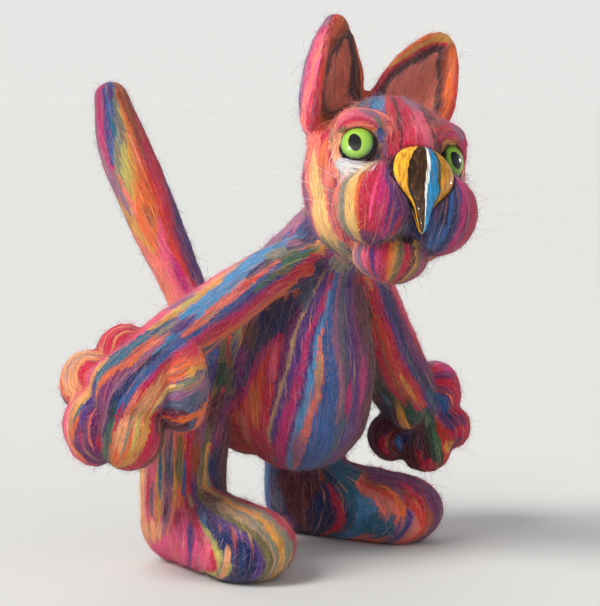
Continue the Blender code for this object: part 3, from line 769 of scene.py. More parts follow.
def leg_part(side: float, word: str) -> Part:
    """One leg with its haunch and foot: the wool runs down the leg and fans out over the foot.

    Args:
        side: -1 for the cat's right, 1 for its left.
        word: The side's name.

    Returns:
        The part.
    """
    toe_out = side * 13.0
    c, s = cos(radians(toe_out)), sin(radians(toe_out))
    forms = [Limb(((side * 38, 21, 18, 17.3), (side * 38, 21, 34, 17.3),
                   (side * 35.6, 21.5, 52, 17.9), (side * 29, 22, 68, 18.6))),
             Lobe((side * 25, 21.5, 70), (22.5, 20.5, 28))]
    for back, height, *radii in ((0, 16.5, 17.2, 17.2, 17.5), (-14, 15, 17.8, 26, 16.5),
                                 (-28, 14, 18.8, 27, 16), (-41, 13.2, 19.8, 21.5, 15.2)):
        forms.append(Lobe((side * 38 - back * s, 21 + back * c, height), tuple(radii), toe_out))
    line = Limb(((side * 38, 21, -6, 17), (side * 38, 21, 34, 17.3), (side * 35, 21.5, 54, 17.9),
                 (side * 25, 21.5, 82, 20)))
    coat, tufts = ((RIGHT_LEG_LOCKS, RIGHT_LEG_TUFTS) if side < 0
                   else (LEFT_LEG_LOCKS, LEFT_LEG_TUFTS))
    return Part(f"{word}_leg", (tuple(forms),), line, coat, LEG_AT, tufts, 17.0, skirt=17.0)


def brow_line(side: float) -> Limb:
    """An arc over one eye, from the picture's left to its right.

    Args:
        side: -1 for the cat's right, 1 for its left.

    Returns:
        The line.
    """
    place = (Matrix.Translation((side * EYE_PLACE[0] + BROW_SHIFT[side], *EYE_PLACE[1:]))
             @ turned(side * EYE_TURN, "Z") @ turned(EYE_TILT, "X"))
    reach, sunk, width = 10.5, -1.0, 6.0
    knots = []
    for turn in (195, 165, 130, 90, 50, 15, -15):
        t = radians(turn)
        knots.append((*(place @ Vector((reach * cos(t), reach * sin(t), sunk))), width))
    return Limb(tuple(knots))


def head_parts() -> list[Part]:
    """Skull, cheeks, chin, lids, brows and ears, all in the head's own frame.

    Returns:
        The parts.
    """
    skull = Lobe((0, 0, 0), (31.5, 32, 32.5))
    jaw = Lobe((0, -6, -14), (29.5, 27, 20))
    bridge = Lobe((0, -25, 7), (9, 9, 15))
    face = Limb(((0, -6, -26, 28), (0, 9, 24, 30)))
    made = [Part("head", ((skull, jaw, bridge),), face, HEAD_LOCKS, HEAD_AT,
                 HEAD_TUFTS, 31.0, in_head=True)]
    chin = Lobe((-2, -23, -28), (15, 13, 11))
    upright, deep_fold = (0.0, 0.0, 1.0), 1.7
    made.append(Part("chin", ((chin,),), lobe_line(chin, upright), CHIN_LOCKS, (),
                     CHIN_TUFTS, 14.0, fold=deep_fold, in_head=True))
    for side, word in SIDES:
        cheek = Lobe((side * 12, -26, -9.5), (16.2, 17, 16.6))
        made.append(Part(f"{word}_cheek", ((cheek,),), lobe_line(cheek, upright),
                         CHEEK_LOCKS[word], CHEEK_AT, CHEEK_TUFTS[word], 16.0, fold=deep_fold,
                         in_head=True))
        turn = side * EYE_TURN
        lid = Lobe((side * 20.6 + BROW_SHIFT[side], -24.4, 1.9), (9.6, 6.2, 4.6), turn)
        made.append(Part(f"{word}_lid", ((lid,),), lobe_line(lid, (1.0, side * 0.7, 0.0)),
                         LID_LOCKS, (), (), 6.0, fold=0.5, in_head=True))
        brow = Lobe((side * 18 + BROW_SHIFT[side], -18, 17.2), (10.6, 7.8, 8), turn)
        made.append(Part(f"{word}_brow", ((brow,),), brow_line(side), BROW_LOCKS[word],
                         BROW_AT, BROW_TUFTS[word], 7.0, fold=-1.2, in_head=True))
    for word, root, lean, turn in (("right", (-23.5, 8.0, 17.5), -3.0, 36.0),
                                   ("left", (7.5, 12.0, 21.0), 20.0, -8.0)):
        place = (Matrix.Translation(root) @ turned(lean, "Y") @ turned(-4.0, "X")
                 @ turned(turn, "Z"))
        made.append(EarPart(f"{word}_ear", ((),), face, EAR_LOCKS[word], EAR_AT, (),
                            14.0, in_head=True, frame=place))
    return made


@dataclass
class Strands:
    """What the wool finish reads from a mesh, for a set of places on it."""

    left: Array
    right: Array
    edge: Array
    flow: Array
    streak: Array


def by_side(edge: Array, after: Array, before: Array) -> Array:
    """The dye that a face itself has, of the two beside its border.

    Args:
        edge: How far each corner of each face is past the border.
        after: The dye past the border, one row a face.
        before: The dye this side of it.

    Returns:
        One dye for each face.
    """
    return np.where((edge.mean(axis=1) > 0.0)[:, None], after, before)


class Coat:
    """All the parts of the figure and how the wool lies on each."""

    # Widths in mm: of a border between dyes at most, of the narrowest lock, of a seam of parts
    edge_width = 3.6
    narrowest = 0.9
    join_width = 2.3
    # A seam's reach in its own widths, and what each part adds to the layer of noise it reads
    join_reach = 1.1
    layer = 31.0
    # How steeply a tuft ends, and how far outside it faces still know its dye
    tuft_slope = 2.4
    tuft_margin = -1.3
    # The hollow of an ear reaches this angle, and few strays lie in it or on the lids
    hollow_angle = 56.0
    hollow_streak = 0.3
    lid_streak = 0.12
    # Degrees that the locks stray, their waves round the part, their waves along it and the
    # start that each part gives them
    waves = ((9.0, 2.0, 0.075, 1.7), (6.0, 3.0, -0.13, 2.3), (3.5, 5.0, 0.21, 0.9))

    def __init__(self) -> None:
        """Lay out all the parts."""
        self.parts = [torso_part(), tail_part(), *arm_parts(),
                      *(leg_part(side, word) for side, word in SIDES), *head_parts()]
        self.part_of = np.array([index for index, part in enumerate(self.parts)
                                 for _ in part.groups])
        LOG.info("coat: %s", ", ".join(part.name for part in self.parts))

    def group_depths(self, points: Array) -> Array:
        """Distance of places from each group of forms.

        Args:
            points: Places, in drawing mm.

        Returns:
            One row of distances for each group.
        """
        in_head = head_points(points)
        return np.array([row for part in self.parts
                         for row in part.depths(in_head if part.in_head else points)])

    def part_depths(self, groups: Array) -> Array:
        """Distance from each part, out of the distances from its groups."""
        return np.array([groups[self.part_of == index].min(axis=0)
                         for index in range(len(self.parts))])

    def shares(self, owner: Array) -> Iterator[tuple[int, Part, Array]]:
        """Go through the parts that own some of the places.

        Args:
            owner: The part of each place.

        Yields:
            A part's number, the part, and the rows of its places.
        """
        for index, part in enumerate(self.parts):
            rows = np.flatnonzero(owner == index)
            if len(rows):
                yield index, part, rows

    def locate(self, index: int, points: Array) -> dict[str, Array]:
        """Where drawing points lie on one part.

        Args:
            index: The part.
            points: Places, in drawing mm.

        Returns:
            What the part's own place method gives, with directions in the drawing.
        """
        part = self.parts[index]
        if not part.in_head:
            return part.place(points)
        found = part.place(head_points(points))
        found["hoop"] = found["hoop"] @ np.array(head_matrix())[:3, :3].T
        return found

    def strands(self, depths: Array, middles: Array, corners: Array) -> Strands:
        """Dyes and flow for faces and their corners.

        Args:
            depths: Distance of each corner from each part, in mm.
            middles: Each face's middle, in drawing mm.
            corners: Each face's four corners, in drawing mm.

        Returns:
            Values for each face and corner.
        """
        count, sides = corners.shape[:2]
        made = Strands(np.zeros((count, 3)), np.zeros((count, 3)), np.zeros((count, sides)),
                       np.zeros((count, sides, 3)), np.ones(count))
        order = depths.mean(axis=2).argsort(axis=0)
        own, other = order[0], order[1]
        for index, part, rows in self.shares(own):
            (made.left[rows], made.right[rows], made.edge[rows], made.flow[rows],
             angle) = self.bands(index, middles[rows], corners[rows])
            if isinstance(part, EarPart):
                made.streak[rows] = np.where(np.abs(angle) < self.hollow_angle,
                                             self.hollow_streak, 1.0)
            if part.locks is LID_LOCKS:
                made.streak[rows] = self.lid_streak
        self.join(made, depths, own, other, middles, corners)
        return made

    def join(self, made: Strands, depths: Array, own: Array, other: Array,
             middles: Array, corners: Array) -> None:
        """Run the dyes of two parts into each other where the parts meet.

        Args:
            made: The values so far, which are changed.
            depths: Distance of each corner from each part, in mm.
            own: The part that each face lies on.
            other: The next nearest part.
            middles: Each face's middle, in drawing mm.
            corners: Each face's four corners, in drawing mm.
        """
        pick = np.arange(len(own))
        gap = (depths[other, pick] - depths[own, pick]) / (2.0 * self.join_width)
        near = np.flatnonzero(gap.mean(axis=1) < self.join_reach)
        mine = by_side(made.edge[near], made.right[near], made.left[near])
        theirs = np.zeros_like(mine)
        for index, _, rows in self.shares(other[near]):
            left, right, edge, _, _ = self.bands(index, middles[near[rows]], corners[near[rows]])
            theirs[rows] = by_side(edge, right, left)
        first = own[near] < other[near]
        made.left[near] = np.where(first[:, None], mine, theirs)
        made.right[near] = np.where(first[:, None], theirs, mine)
        made.edge[near] = np.where(first, -1.0, 1.0)[:, None] * gap[near]

    def wander(self, index: int, across: Array, along: Array) -> Array:
        """How far the locks stray sideways: more round the back than in front.

        Args:
            index: The part.
            across: Angles round it, in degrees.
            along: Lengths along it, in mm.

        Returns:
            Degrees for each place.
        """
        turn = np.radians(across)
        back = smoothstep(np.abs(wrapped(across)), 70.0, 125.0)
        return back * sum(size * np.sin(round_it * turn + along * along_it + start * index)
                          for size, round_it, along_it, start in self.waves)

    def bands(self, index: int, middles: Array, corners: Array) -> tuple[Array, ...]:
        """The two dyes beside the nearest border of each face, and its corners' places.

        Args:
            index: The part.
            middles: Each face's middle, in drawing mm.
            corners: Each face's corners, in drawing mm.

        Returns:
            The dye before and after the border, how far each corner is past it, the flow at each
            corner, and the angle of each face.
        """
        part = self.parts[index]
        count, sides = corners.shape[:2]
        middle = self.locate(index, middles)
        corner = self.locate(index, corners.reshape(-1, 3))
        across, along = middle["angle"], middle["along"]
        across_at = across[:, None] + wrapped(corner["angle"].reshape(-1, sides)
                                              - across[:, None])
        along_at = corner["along"].reshape(-1, sides)
        flow = np.stack((across_at * radians(part.girth), along_at,
                         np.full_like(along_at, self.layer * index)), axis=2)
        starts = np.array([np.interp(along, part.stations[:len(lock.starts)], lock.starts)
                           if len(lock.starts) > 1 else np.full(count, lock.starts[0])
                           for lock in part.locks]
                          + [np.full(count, part.locks[0].starts[0] + 360.0)])
        across_at = across_at + self.wander(index, across_at, along_at)
        strayed = across + self.wander(index, across[:, None], along[:, None])[:, 0]
        across = (strayed - starts[0]) % 360.0 + starts[0]
        across_at = across_at + (across - strayed)[:, None]
        true = np.radians(middle["reach"])
        widths = np.diff(starts, axis=0) * true
        dyes = np.array([lock.wool.linear for lock in part.locks])
        total = len(dyes)
        before, before_width = np.full(count, total - 1), widths[-1].copy()
        best = np.full(count, 1e9)
        left, right = np.zeros(count, int), np.zeros(count, int)
        border, room = np.zeros(count), np.ones(count)
        for k in range(total + 1):
            width = widths[k % total]
            wide = width > self.narrowest
            gap = np.abs(across - starts[k])
            hit = wide & (gap < best)
            best = np.where(hit, gap, best)
            left = np.where(hit, before, left)
            right = np.where(hit, k % total, right)
            border = np.where(hit, starts[k], border)
            room = np.where(hit, np.minimum(before_width, width), room)
            before = np.where(wide, k % total, before)
            before_width = np.where(wide, width, before_width)
        reach = np.clip(0.5 * room, 0.5, self.edge_width)
        edge = (across_at - border[:, None]) * (true / reach)[:, None]
        left, right = dyes[left], dyes[right]
        for tuft in part.tufts:
            span = np.hypot((across_at - tuft.across) / tuft.half_across,
                            (along_at - tuft.along) / tuft.half_along)
            lap = (1.0 - span) * self.tuft_slope
            inside = (lap.mean(axis=1) > self.tuft_margin)[:, None]
            left = np.where(inside, by_side(edge, right, left), left)
            right = np.where(inside, np.array(tuft.wool.linear), right)
            edge = np.where(inside, lap, edge)
        return left, right, edge, flow, middle["angle"]


class Shade:
    """A socket of a material whose arithmetic adds Math nodes."""

    def __init__(self, graph: "Graph", socket: bpy.types.NodeSocket) -> None:
        """Wrap an output of one of the graph's nodes."""
        self.graph = graph
        self.socket = socket

    def math(self, operation: str, first: object, second: object = 0.0) -> "Shade":
        """One Math node of the given operation."""
        return self.graph.add("ShaderNodeMath", {"operation": operation}, {0: first, 1: second})

    def __add__(self, other: object) -> "Shade":
        """The sum."""
        return self.math("ADD", self, other)

    __radd__ = __add__

    def __mul__(self, other: object) -> "Shade":
        """The product."""
        return self.math("MULTIPLY", self, other)

    __rmul__ = __mul__

    def __sub__(self, other: object) -> "Shade":
        """The difference."""
        return self.math("SUBTRACT", self, other)

    def __rsub__(self, other: object) -> "Shade":
        """The difference from a number."""
        return self.math("SUBTRACT", other, self)

    def __truediv__(self, other: object) -> "Shade":
        """The quotient."""
        return self.math("DIVIDE", self, other)

    def __pow__(self, other: object) -> "Shade":
        """The power."""
        return self.math("POWER", self, other)

    def absolute(self) -> "Shade":
        """The value without its sign."""
        return self.math("ABSOLUTE", self)

    def step(self, low: float, high: float, start: float = 0.0, end: float = 1.0) -> "Shade":
        """An eased step, from start at low to end at high."""
        return self.graph.add("ShaderNodeMapRange", {"interpolation_type": "SMOOTHSTEP"}, {
            "Value": self, "From Min": low, "From Max": high, "To Min": start, "To Max": end})


class Graph:
    """The nodes of one material."""

    def __init__(self, name: str) -> None:
        """Start a material with its own shader.

        Args:
            name: The material's name.
        """
        self.material = bpy.data.materials.new(name)
        self.material.use_nodes = True
        self.tree = self.material.node_tree
        self.shader = self.tree.nodes["Principled BSDF"]

    def fill(self, node: bpy.types.Node, values: dict) -> None:
        """Set or link a node's sockets.

        Args:
            node: The node.
            values: A value or a shade for each socket.
        """
        for key, value in values.items():
            if isinstance(value, Shade):
                self.tree.links.new(value.socket, node.inputs[key])
            else:
                node.inputs[key].default_value = value

    def add(self, kind: str, settings: dict, inputs: dict, output: object = 0) -> Shade:
        """Add a node.

        Args:
            kind: The node's type.
            settings: Its own settings, set first. A ramp's stops are under "stops", and the way
                it runs from one to the next under "ramp".
            inputs: Values or shades for its sockets.
            output: The socket that is returned.

        Returns:
            The node's output as a shade.
        """
        node = self.tree.nodes.new(kind)
        for key, value in settings.items():
            if key == "stops":
                ramp = node.color_ramp
                while len(ramp.elements) > 1:
                    ramp.elements.remove(ramp.elements[-1])
                for i, (place, colour) in enumerate(value):
                    stop = ramp.elements[0] if i == 0 else ramp.elements.new(place)
                    stop.position = place
                    stop.color = (*colour, 1.0)
            elif key == "ramp":
                node.color_ramp.interpolation = value
            else:
                setattr(node, key, value)
        self.fill(node, inputs)
        return Shade(self, node.outputs[output])

    def attribute(self, name: str, output: str) -> Shade:
        """A value that the mesh carries."""
        return self.add("ShaderNodeAttribute", {"attribute_name": name}, {}, output)

    def part(self, vector: Shade, axis: str) -> Shade:
        """One of a vector's three numbers."""
        return self.add("ShaderNodeSeparateXYZ", {}, {0: vector}, axis)

    def mix(self, factor: object, first: object, second: object, blend: str = "MIX") -> Shade:
        """Two colours mixed.

        Args:
            factor: The share of the second colour.
            first: The first colour.
            second: The second colour.
            blend: How the second is laid over the first.

        Returns:
            The mixed colour.
        """
        return self.add("ShaderNodeMix", {"data_type": "RGBA", "blend_type": blend,
                                          "clamp_factor": True},
                        {0: factor, 6: first, 7: second}, 2)

    def toned(self, colour: Shade, red: Shade, green: Shade, blue: Shade) -> Shade:
        """A colour whose channels are each multiplied by a shade."""
        tone = self.add("ShaderNodeCombineColor", {}, {"Red": red, "Green": green, "Blue": blue})
        return self.mix(1.0, colour, tone, "MULTIPLY")

    def grain(self, vector: Shade, sizes: Point, detail: float = 2.0, rough: float = 0.5) -> Shade:
        """Noise around 0, about -1 to 1.

        Args:
            vector: Where it is read.
            sizes: How often it changes along each axis.
            detail: How many finer layers it has.
            rough: How strong the finer layers are.

        Returns:
            The noise.
        """
        where = self.add("ShaderNodeVectorMath", {"operation": "MULTIPLY"}, {0: vector, 1: sizes})
        fac = self.add("ShaderNodeTexNoise", {"noise_dimensions": "3D"}, {
            "Vector": where, "Scale": 1.0, "Detail": detail, "Roughness": rough})
        return (fac - 0.5) * 2.4

    def set(self, values: dict[str, object]) -> None:
        """Set or link sockets of the closing shader."""
        self.fill(self.shader, values)


class RoomGraph(Graph):
    """The nodes of the room's own light."""

    def __init__(self, name: str) -> None:
        """Start a world with its own shader.

        Args:
            name: The world's name.
        """
        self.world = bpy.data.worlds.new(name)
        self.world.use_nodes = True
        self.tree = self.world.node_tree
        self.shader = self.tree.nodes["Background"]


@dataclass(frozen=True)
class WoolFinish:
    """Dyed wool: two dyes at each border, broken up strand by strand.

    Each grain's sizes are across the locks, along them, and which layer of noise is read.
    """

    name: str = "dyed_wool"
    meander: Point = (0.12, 0.05, 1.0)
    lock: Point = (0.42, 0.030, 1.0)
    strand: Point = (1.15, 0.065, 1.0)
    fibre: Point = (2.6, 0.16, 1.0)
    felt: Point = (1.9, 1.3, 1.0)
    pulled: Point = (0.30, 0.016, 1.7)
    drawn: Point = (0.62, 0.030, 5.3)
    stray: Point = (1.5, 0.045, 2.3)
    sunk: Point = (1.2, 0.040, 3.9)
    stops: tuple[float, ...] = (0.0, 0.25, 0.40, 0.50, 0.60, 0.78, 1.0)
    warm: tuple[Wool, ...] = (W.MAGENTA, W.CRIMSON, W.ORANGE, W.YELLOW, W.SALMON, W.PURPLE,
                              W.HOT_PINK)
    cool: tuple[Wool, ...] = (W.NAVY, W.STEEL, W.TEAL, W.GREY_GREEN, W.VIOLET, W.SLATE, W.MAROON)
    faded: tuple[float, ...] = (0.88, 0.62, 0.58, 1.0)

    def strays(self, graph: Graph, wools: tuple[Wool, ...], pull: Shade) -> Shade:
        """The dyes of stray strands, which change from place to place.

        Args:
            graph: The material's nodes.
            wools: The dyes.
            pull: Which of them is on top, from 0 to 1.

        Returns:
            The colour.
        """
        stops = tuple((stop, wool.linear) for stop, wool in zip(self.stops, wools))
        return graph.add("ShaderNodeValToRGB", {"stops": stops}, {0: pull})

    def material(self) -> Material:
        """Build the material.

        Returns:
            The material.
        """
        graph = Graph(self.name)
        flow = graph.attribute("flow", "Vector")
        edge = graph.attribute("edge", "Fac")
        streak = graph.attribute("streak", "Fac")
        left = graph.attribute("dye_left", "Color")
        right = graph.attribute("dye_right", "Color")
        meander = graph.grain(flow, self.meander, 1.0)
        lock = graph.grain(flow, self.lock)
        strand = graph.grain(flow, self.strand, 2.0, 0.6)
        fibre = graph.grain(flow, self.fibre, 2.0, 0.65)
        felt = graph.grain(flow, self.felt, 3.0, 0.75)
        calm = edge.absolute().step(0.35, 1.0, 1.0, 0.0)
        uneven = meander * 0.6 + lock * 1.3 + strand * 1.6 + fibre * 1.2
        dyed = graph.mix((edge + uneven * calm).step(-0.85, 0.85), left, right)
        pull = graph.grain(flow, self.pulled, 1.0) * 0.6 + 0.5
        warm, cool = (self.strays(graph, wools, pull) for wools in (self.warm, self.cool))
        for sizes, rough, low, high, share, colour in (
                (self.drawn, 0.55, 0.20, 0.75, 0.50, warm),
                (self.sunk, 0.6, 0.12, 0.55, 0.55, cool),
                (self.stray, 0.6, 0.16, 0.50, 0.60, warm)):
            seen = graph.grain(flow, sizes, 2.0, rough).step(low, high)
            dyed = graph.mix(seen * streak * share, dyed, colour)
        pale = (fibre * 0.6 + felt * 0.7).step(0.05, 0.75)
        dyed = graph.mix(pale * 0.20, dyed, self.faded)
        # Random tone and painted shade together: the noise that raises the strands in the bump
        # also lightens the dye on the raised strands and darkens it between them
        shade = strand * 0.36 + fibre * 0.42 + felt * 0.34 + lock * 0.20 + 0.98
        height = strand * 0.8 + fibre * 0.5 + felt * 0.5 + lock * 0.9
        graph.set({"Base Color": graph.toned(dyed, shade, shade, shade), "Roughness": 0.88,
                   "Sheen Weight": 0.2, "Sheen Roughness": 0.45, "Specular IOR Level": 0.22,
                   "Normal": graph.add("ShaderNodeBump", {}, {
                       "Strength": 0.9, "Distance": 0.0006, "Height": height})})
        return graph.material


@dataclass(frozen=True)
class FibreFinish:
    """A single loose fibre, in the dye of the place where it is rooted."""

    name: str = "loose_fibre"

    def material(self) -> Material:
        """Build the material.

        Returns:
            The material.
        """
        graph = Graph(self.name)
        graph.set({"Base Color": graph.attribute("dye", "Color"), "Roughness": 0.8,
                   "Sheen Weight": 0.3, "Specular IOR Level": 0.25})
        return graph.material


@dataclass(frozen=True)
class PlainFinish:
    """An even finish."""

    name: str
    colour: Point
    roughness: float = 0.5
    alpha: float = 1.0

    def material(self) -> Material:
        """Build the material.

        Returns:
            The material.
        """
        graph = Graph(self.name)
        graph.set({"Base Color": (*self.colour, 1.0), "Roughness": self.roughness,
                   "Alpha": self.alpha})
        return graph.material


@dataclass(frozen=True)
class EyeFinish:
    """Green glass with an oval pupil, read from the eye's own places in mm."""

    name: str
    gaze: float
    # depth: how much of the iris's own green shows; below 1 the iris is darkened towards
    # near-black as painted shade
    depth: float
    gloss: float
    radius: float = 7.0
    lean: float = 30.0
    pupil: tuple[float, float] = (2.5, 3.5)
    shift: tuple[float, float] = (0.3, 0.45)
    rays: Point = (1.4, 1.4, 0.1)
    rings: tuple[tuple[float, Point], ...] = (
        (0.0, (0.22, 0.40, 0.04)), (0.45, (0.34, 0.56, 0.06)), (0.72, (0.24, 0.47, 0.04)),
        (0.85, (0.10, 0.22, 0.02)), (0.90, (0.008, 0.01, 0.008)))

    def material(self) -> Material:
        """Build the material.

        Returns:
            The material.
        """
        graph = Graph(self.name)
        place = graph.attribute("lens", "Vector")
        x, y = graph.part(place, "X"), graph.part(place, "Y")
        c, s = cos(radians(self.lean)), sin(radians(self.lean))
        seen = x - self.gaze
        across, up = seen * c + y * s, y * c - seen * s
        pupil = ((across / self.pupil[0]).absolute() ** 2.0
                 + (up / self.pupil[1]).absolute() ** 1.7) ** 0.5
        out = ((x + self.shift[0]) ** 2.0 + (y - self.shift[1]) ** 2.0) ** 0.5 / self.radius
        iris = graph.add("ShaderNodeValToRGB", {"stops": self.rings},
                         {0: out + graph.grain(place, self.rays, 3.0) * 0.05})
        # Painted shade: a depth below 1 mixes the iris towards near-black
        iris = graph.mix(self.depth, (0.01, 0.012, 0.004, 1.0), iris)
        coloured = graph.mix(pupil.step(0.96, 1.04), (0.004, 0.004, 0.004, 1.0), iris)
        graph.set({"Base Color": coloured, "Roughness": 0.25, "Coat Weight": self.gloss,
                   "Specular IOR Level": 0.5 * self.gloss, "Coat Roughness": 0.03,
                   "Coat IOR": 1.6})
        return graph.material


@dataclass(frozen=True)
class NoseFinish:
    """Painted bands down the nose under gloss lacquer, read from its own places in mm."""

    name: str = "painted_nose"
    # From the cat's right: outline, ochre, outline, brown, white, azure, green, ochre, outline
    paints: tuple[Point, ...] = (
        (0.012, 0.010, 0.010), (0.86, 0.40, 0.03), (0.02, 0.012, 0.008), (0.042, 0.017, 0.007),
        (0.82, 0.81, 0.76), (0.012, 0.25, 0.52), (0.045, 0.085, 0.035), (0.60, 0.25, 0.014),
        (0.012, 0.010, 0.010))
    stain: tuple[float, ...] = (0.26, 0.10, 0.022, 1.0)
    brush: Point = (0.9, 0.9, 0.5)
    wood: Point = (0.85, 0.85, 0.10)
    streak: Point = (1.0, 1.0, 0.14)

    def material(self) -> Material:
        """Build the material.

        Returns:
            The material.
        """
        graph = Graph(self.name)
        place = graph.attribute("lens", "Vector")
        band = graph.attribute("band", "Fac")
        total = float(len(self.paints))
        paint = graph.add("ShaderNodeValToRGB", {"ramp": "CONSTANT", "stops": tuple(
            (step / total, dye) for step, dye in enumerate(self.paints))},
            {0: (band + graph.grain(place, self.brush) * 0.06) / total})
        wood = graph.grain(place, self.wood, 3.0, 0.7)
        painted = graph.toned(paint, wood * 1.15 + 1.0, wood * 1.35 + 0.98, wood * 1.1 + 0.98)
        streak = graph.grain(place, self.streak, 2.0, 0.6).step(0.02, 0.42)
        painted = graph.mix(streak * 0.5, painted, self.stain)
        graph.set({"Base Color": painted, "Roughness": 0.35, "Specular IOR Level": 0.2,
                   "Coat Weight": 0.55, "Coat Roughness": 0.05})
        return graph.material


def linked(name: str, data: bpy.types.ID) -> Object:
    """Put new data into the scene.

    Args:
        name: The new object's name.
        data: A mesh, lamp or camera.

    Returns:
        The object.
    """
    made = bpy.data.objects.new(name, data)
    bpy.context.scene.collection.objects.link(made)
    return made


def show(name: str, mesh: Mesh, finish: Material,
         replaced: tuple[str, ...] = ()) -> Object:
    """Put a finished mesh into the scene on the part's one body.

    Args:
        name: The piece's name.
        mesh: Its mesh.
        finish: Its material.
        replaced: The CAD nodes that it takes the place of.

    Returns:
        The piece.
    """
    made = linked(name, mesh)
    mesh.materials.clear()
    mesh.materials.append(finish)
    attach(made, "root")
    if replaced:
        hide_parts(*replaced)
    LOG.info("%s: %d faces", name, len(mesh.polygons))
    return made


def set_values(mesh: Mesh, name: str, kind: str, domain: str, values: Array) -> None:
    """Store values on a mesh.

    Args:
        mesh: The mesh.
        name: The values' name.
        kind: Their type.
        domain: What has one value each.
        values: The values.
    """
    if kind == "FLOAT_COLOR" and values.shape[-1] == 3:
        values = np.concatenate((values, np.ones((*values.shape[:-1], 1))), axis=-1)
    key = {"FLOAT": "value", "FLOAT_VECTOR": "vector", "FLOAT_COLOR": "color"}[kind]
    made = mesh.attributes.new(name, kind, domain)
    made.data.foreach_set(key, np.ascontiguousarray(values, np.float32).ravel())


def rows_of(source: bpy.types.bpy_prop_collection, key: str, width: int = 3) -> Array:
    """One property of every item of a mesh, a row an item.

    Args:
        source: The mesh's vertices, faces or values.
        key: The property.
        width: How many numbers it has.

    Returns:
        The rows.
    """
    found = np.zeros(len(source) * width, np.float32)
    source.foreach_get(key, found)
    return found.reshape(-1, width).astype(float)


def ring_mesh(name: str, places: Array, sides: int) -> Mesh:
    """A closed, smooth mesh over rings of places, with a flat cap at each end.

    Args:
        name: The mesh's name.
        places: The places of all the rings, one ring after another, in drawing mm.
        sides: How many places a ring has.

    Returns:
        The mesh.
    """
    last = len(places) // sides - 1
    faces = [(i * sides + j, i * sides + (j + 1) % sides, (i + 1) * sides + (j + 1) % sides,
              (i + 1) * sides + j) for i in range(last) for j in range(sides)]
    faces += [tuple(range(sides))[::-1], tuple(last * sides + j for j in range(sides))]
    mesh = bpy.data.meshes.new(name)
    mesh.from_pydata(to_frame(places).tolist(), [], faces)
    bm = bmesh.new()
    bm.from_mesh(mesh)
    bmesh.ops.recalc_face_normals(bm, faces=bm.faces)
    bm.to_mesh(mesh)
    bm.free()
    mesh.shade_smooth()
    return mesh


def grain_of(rows: Array) -> Array:
    """Smooth noise at each row, about -1 to 1."""
    return np.fromiter((noise.noise(Vector(row)) for row in rows.tolist()), float, len(rows))


@dataclass
class Glass:
    """The hard lens of one eye, as an ellipsoid with its own frame in the drawing."""

    side: float
    radius: float = 7.0
    half_depth: float = 4.8

    @property
    def radii(self) -> Array:
        """Its half sizes along its own axes."""
        return np.array((self.radius, self.radius, self.half_depth))

    def frame(self) -> Matrix:
        """Where the lens sits.

        Returns:
            The lens's frame in the drawing: it looks along its own +Z and its top is +Y.
        """
        x, y, z = EYE_PLACE
        place = Matrix.Translation((self.side * x + EYE_SHIFT[self.side], y, z))
        return head_matrix() @ place @ (turned(self.side * EYE_TURN, "Z") @ turned(EYE_TILT, "X"))

    def clear(self, points: Array, gap: float) -> Array:
        """Push points out of the lens grown by a gap.

        Args:
            points: Places, in drawing mm.
            gap: The gap, in mm.

        Returns:
            The places.
        """
        local = moved(points, self.frame().inverted())
        near = np.linalg.norm(local / (self.radii + gap), axis=1, keepdims=True)
        local = np.where(near < 1.0, local / np.maximum(near, 0.2), local)
        return moved(local, self.frame())


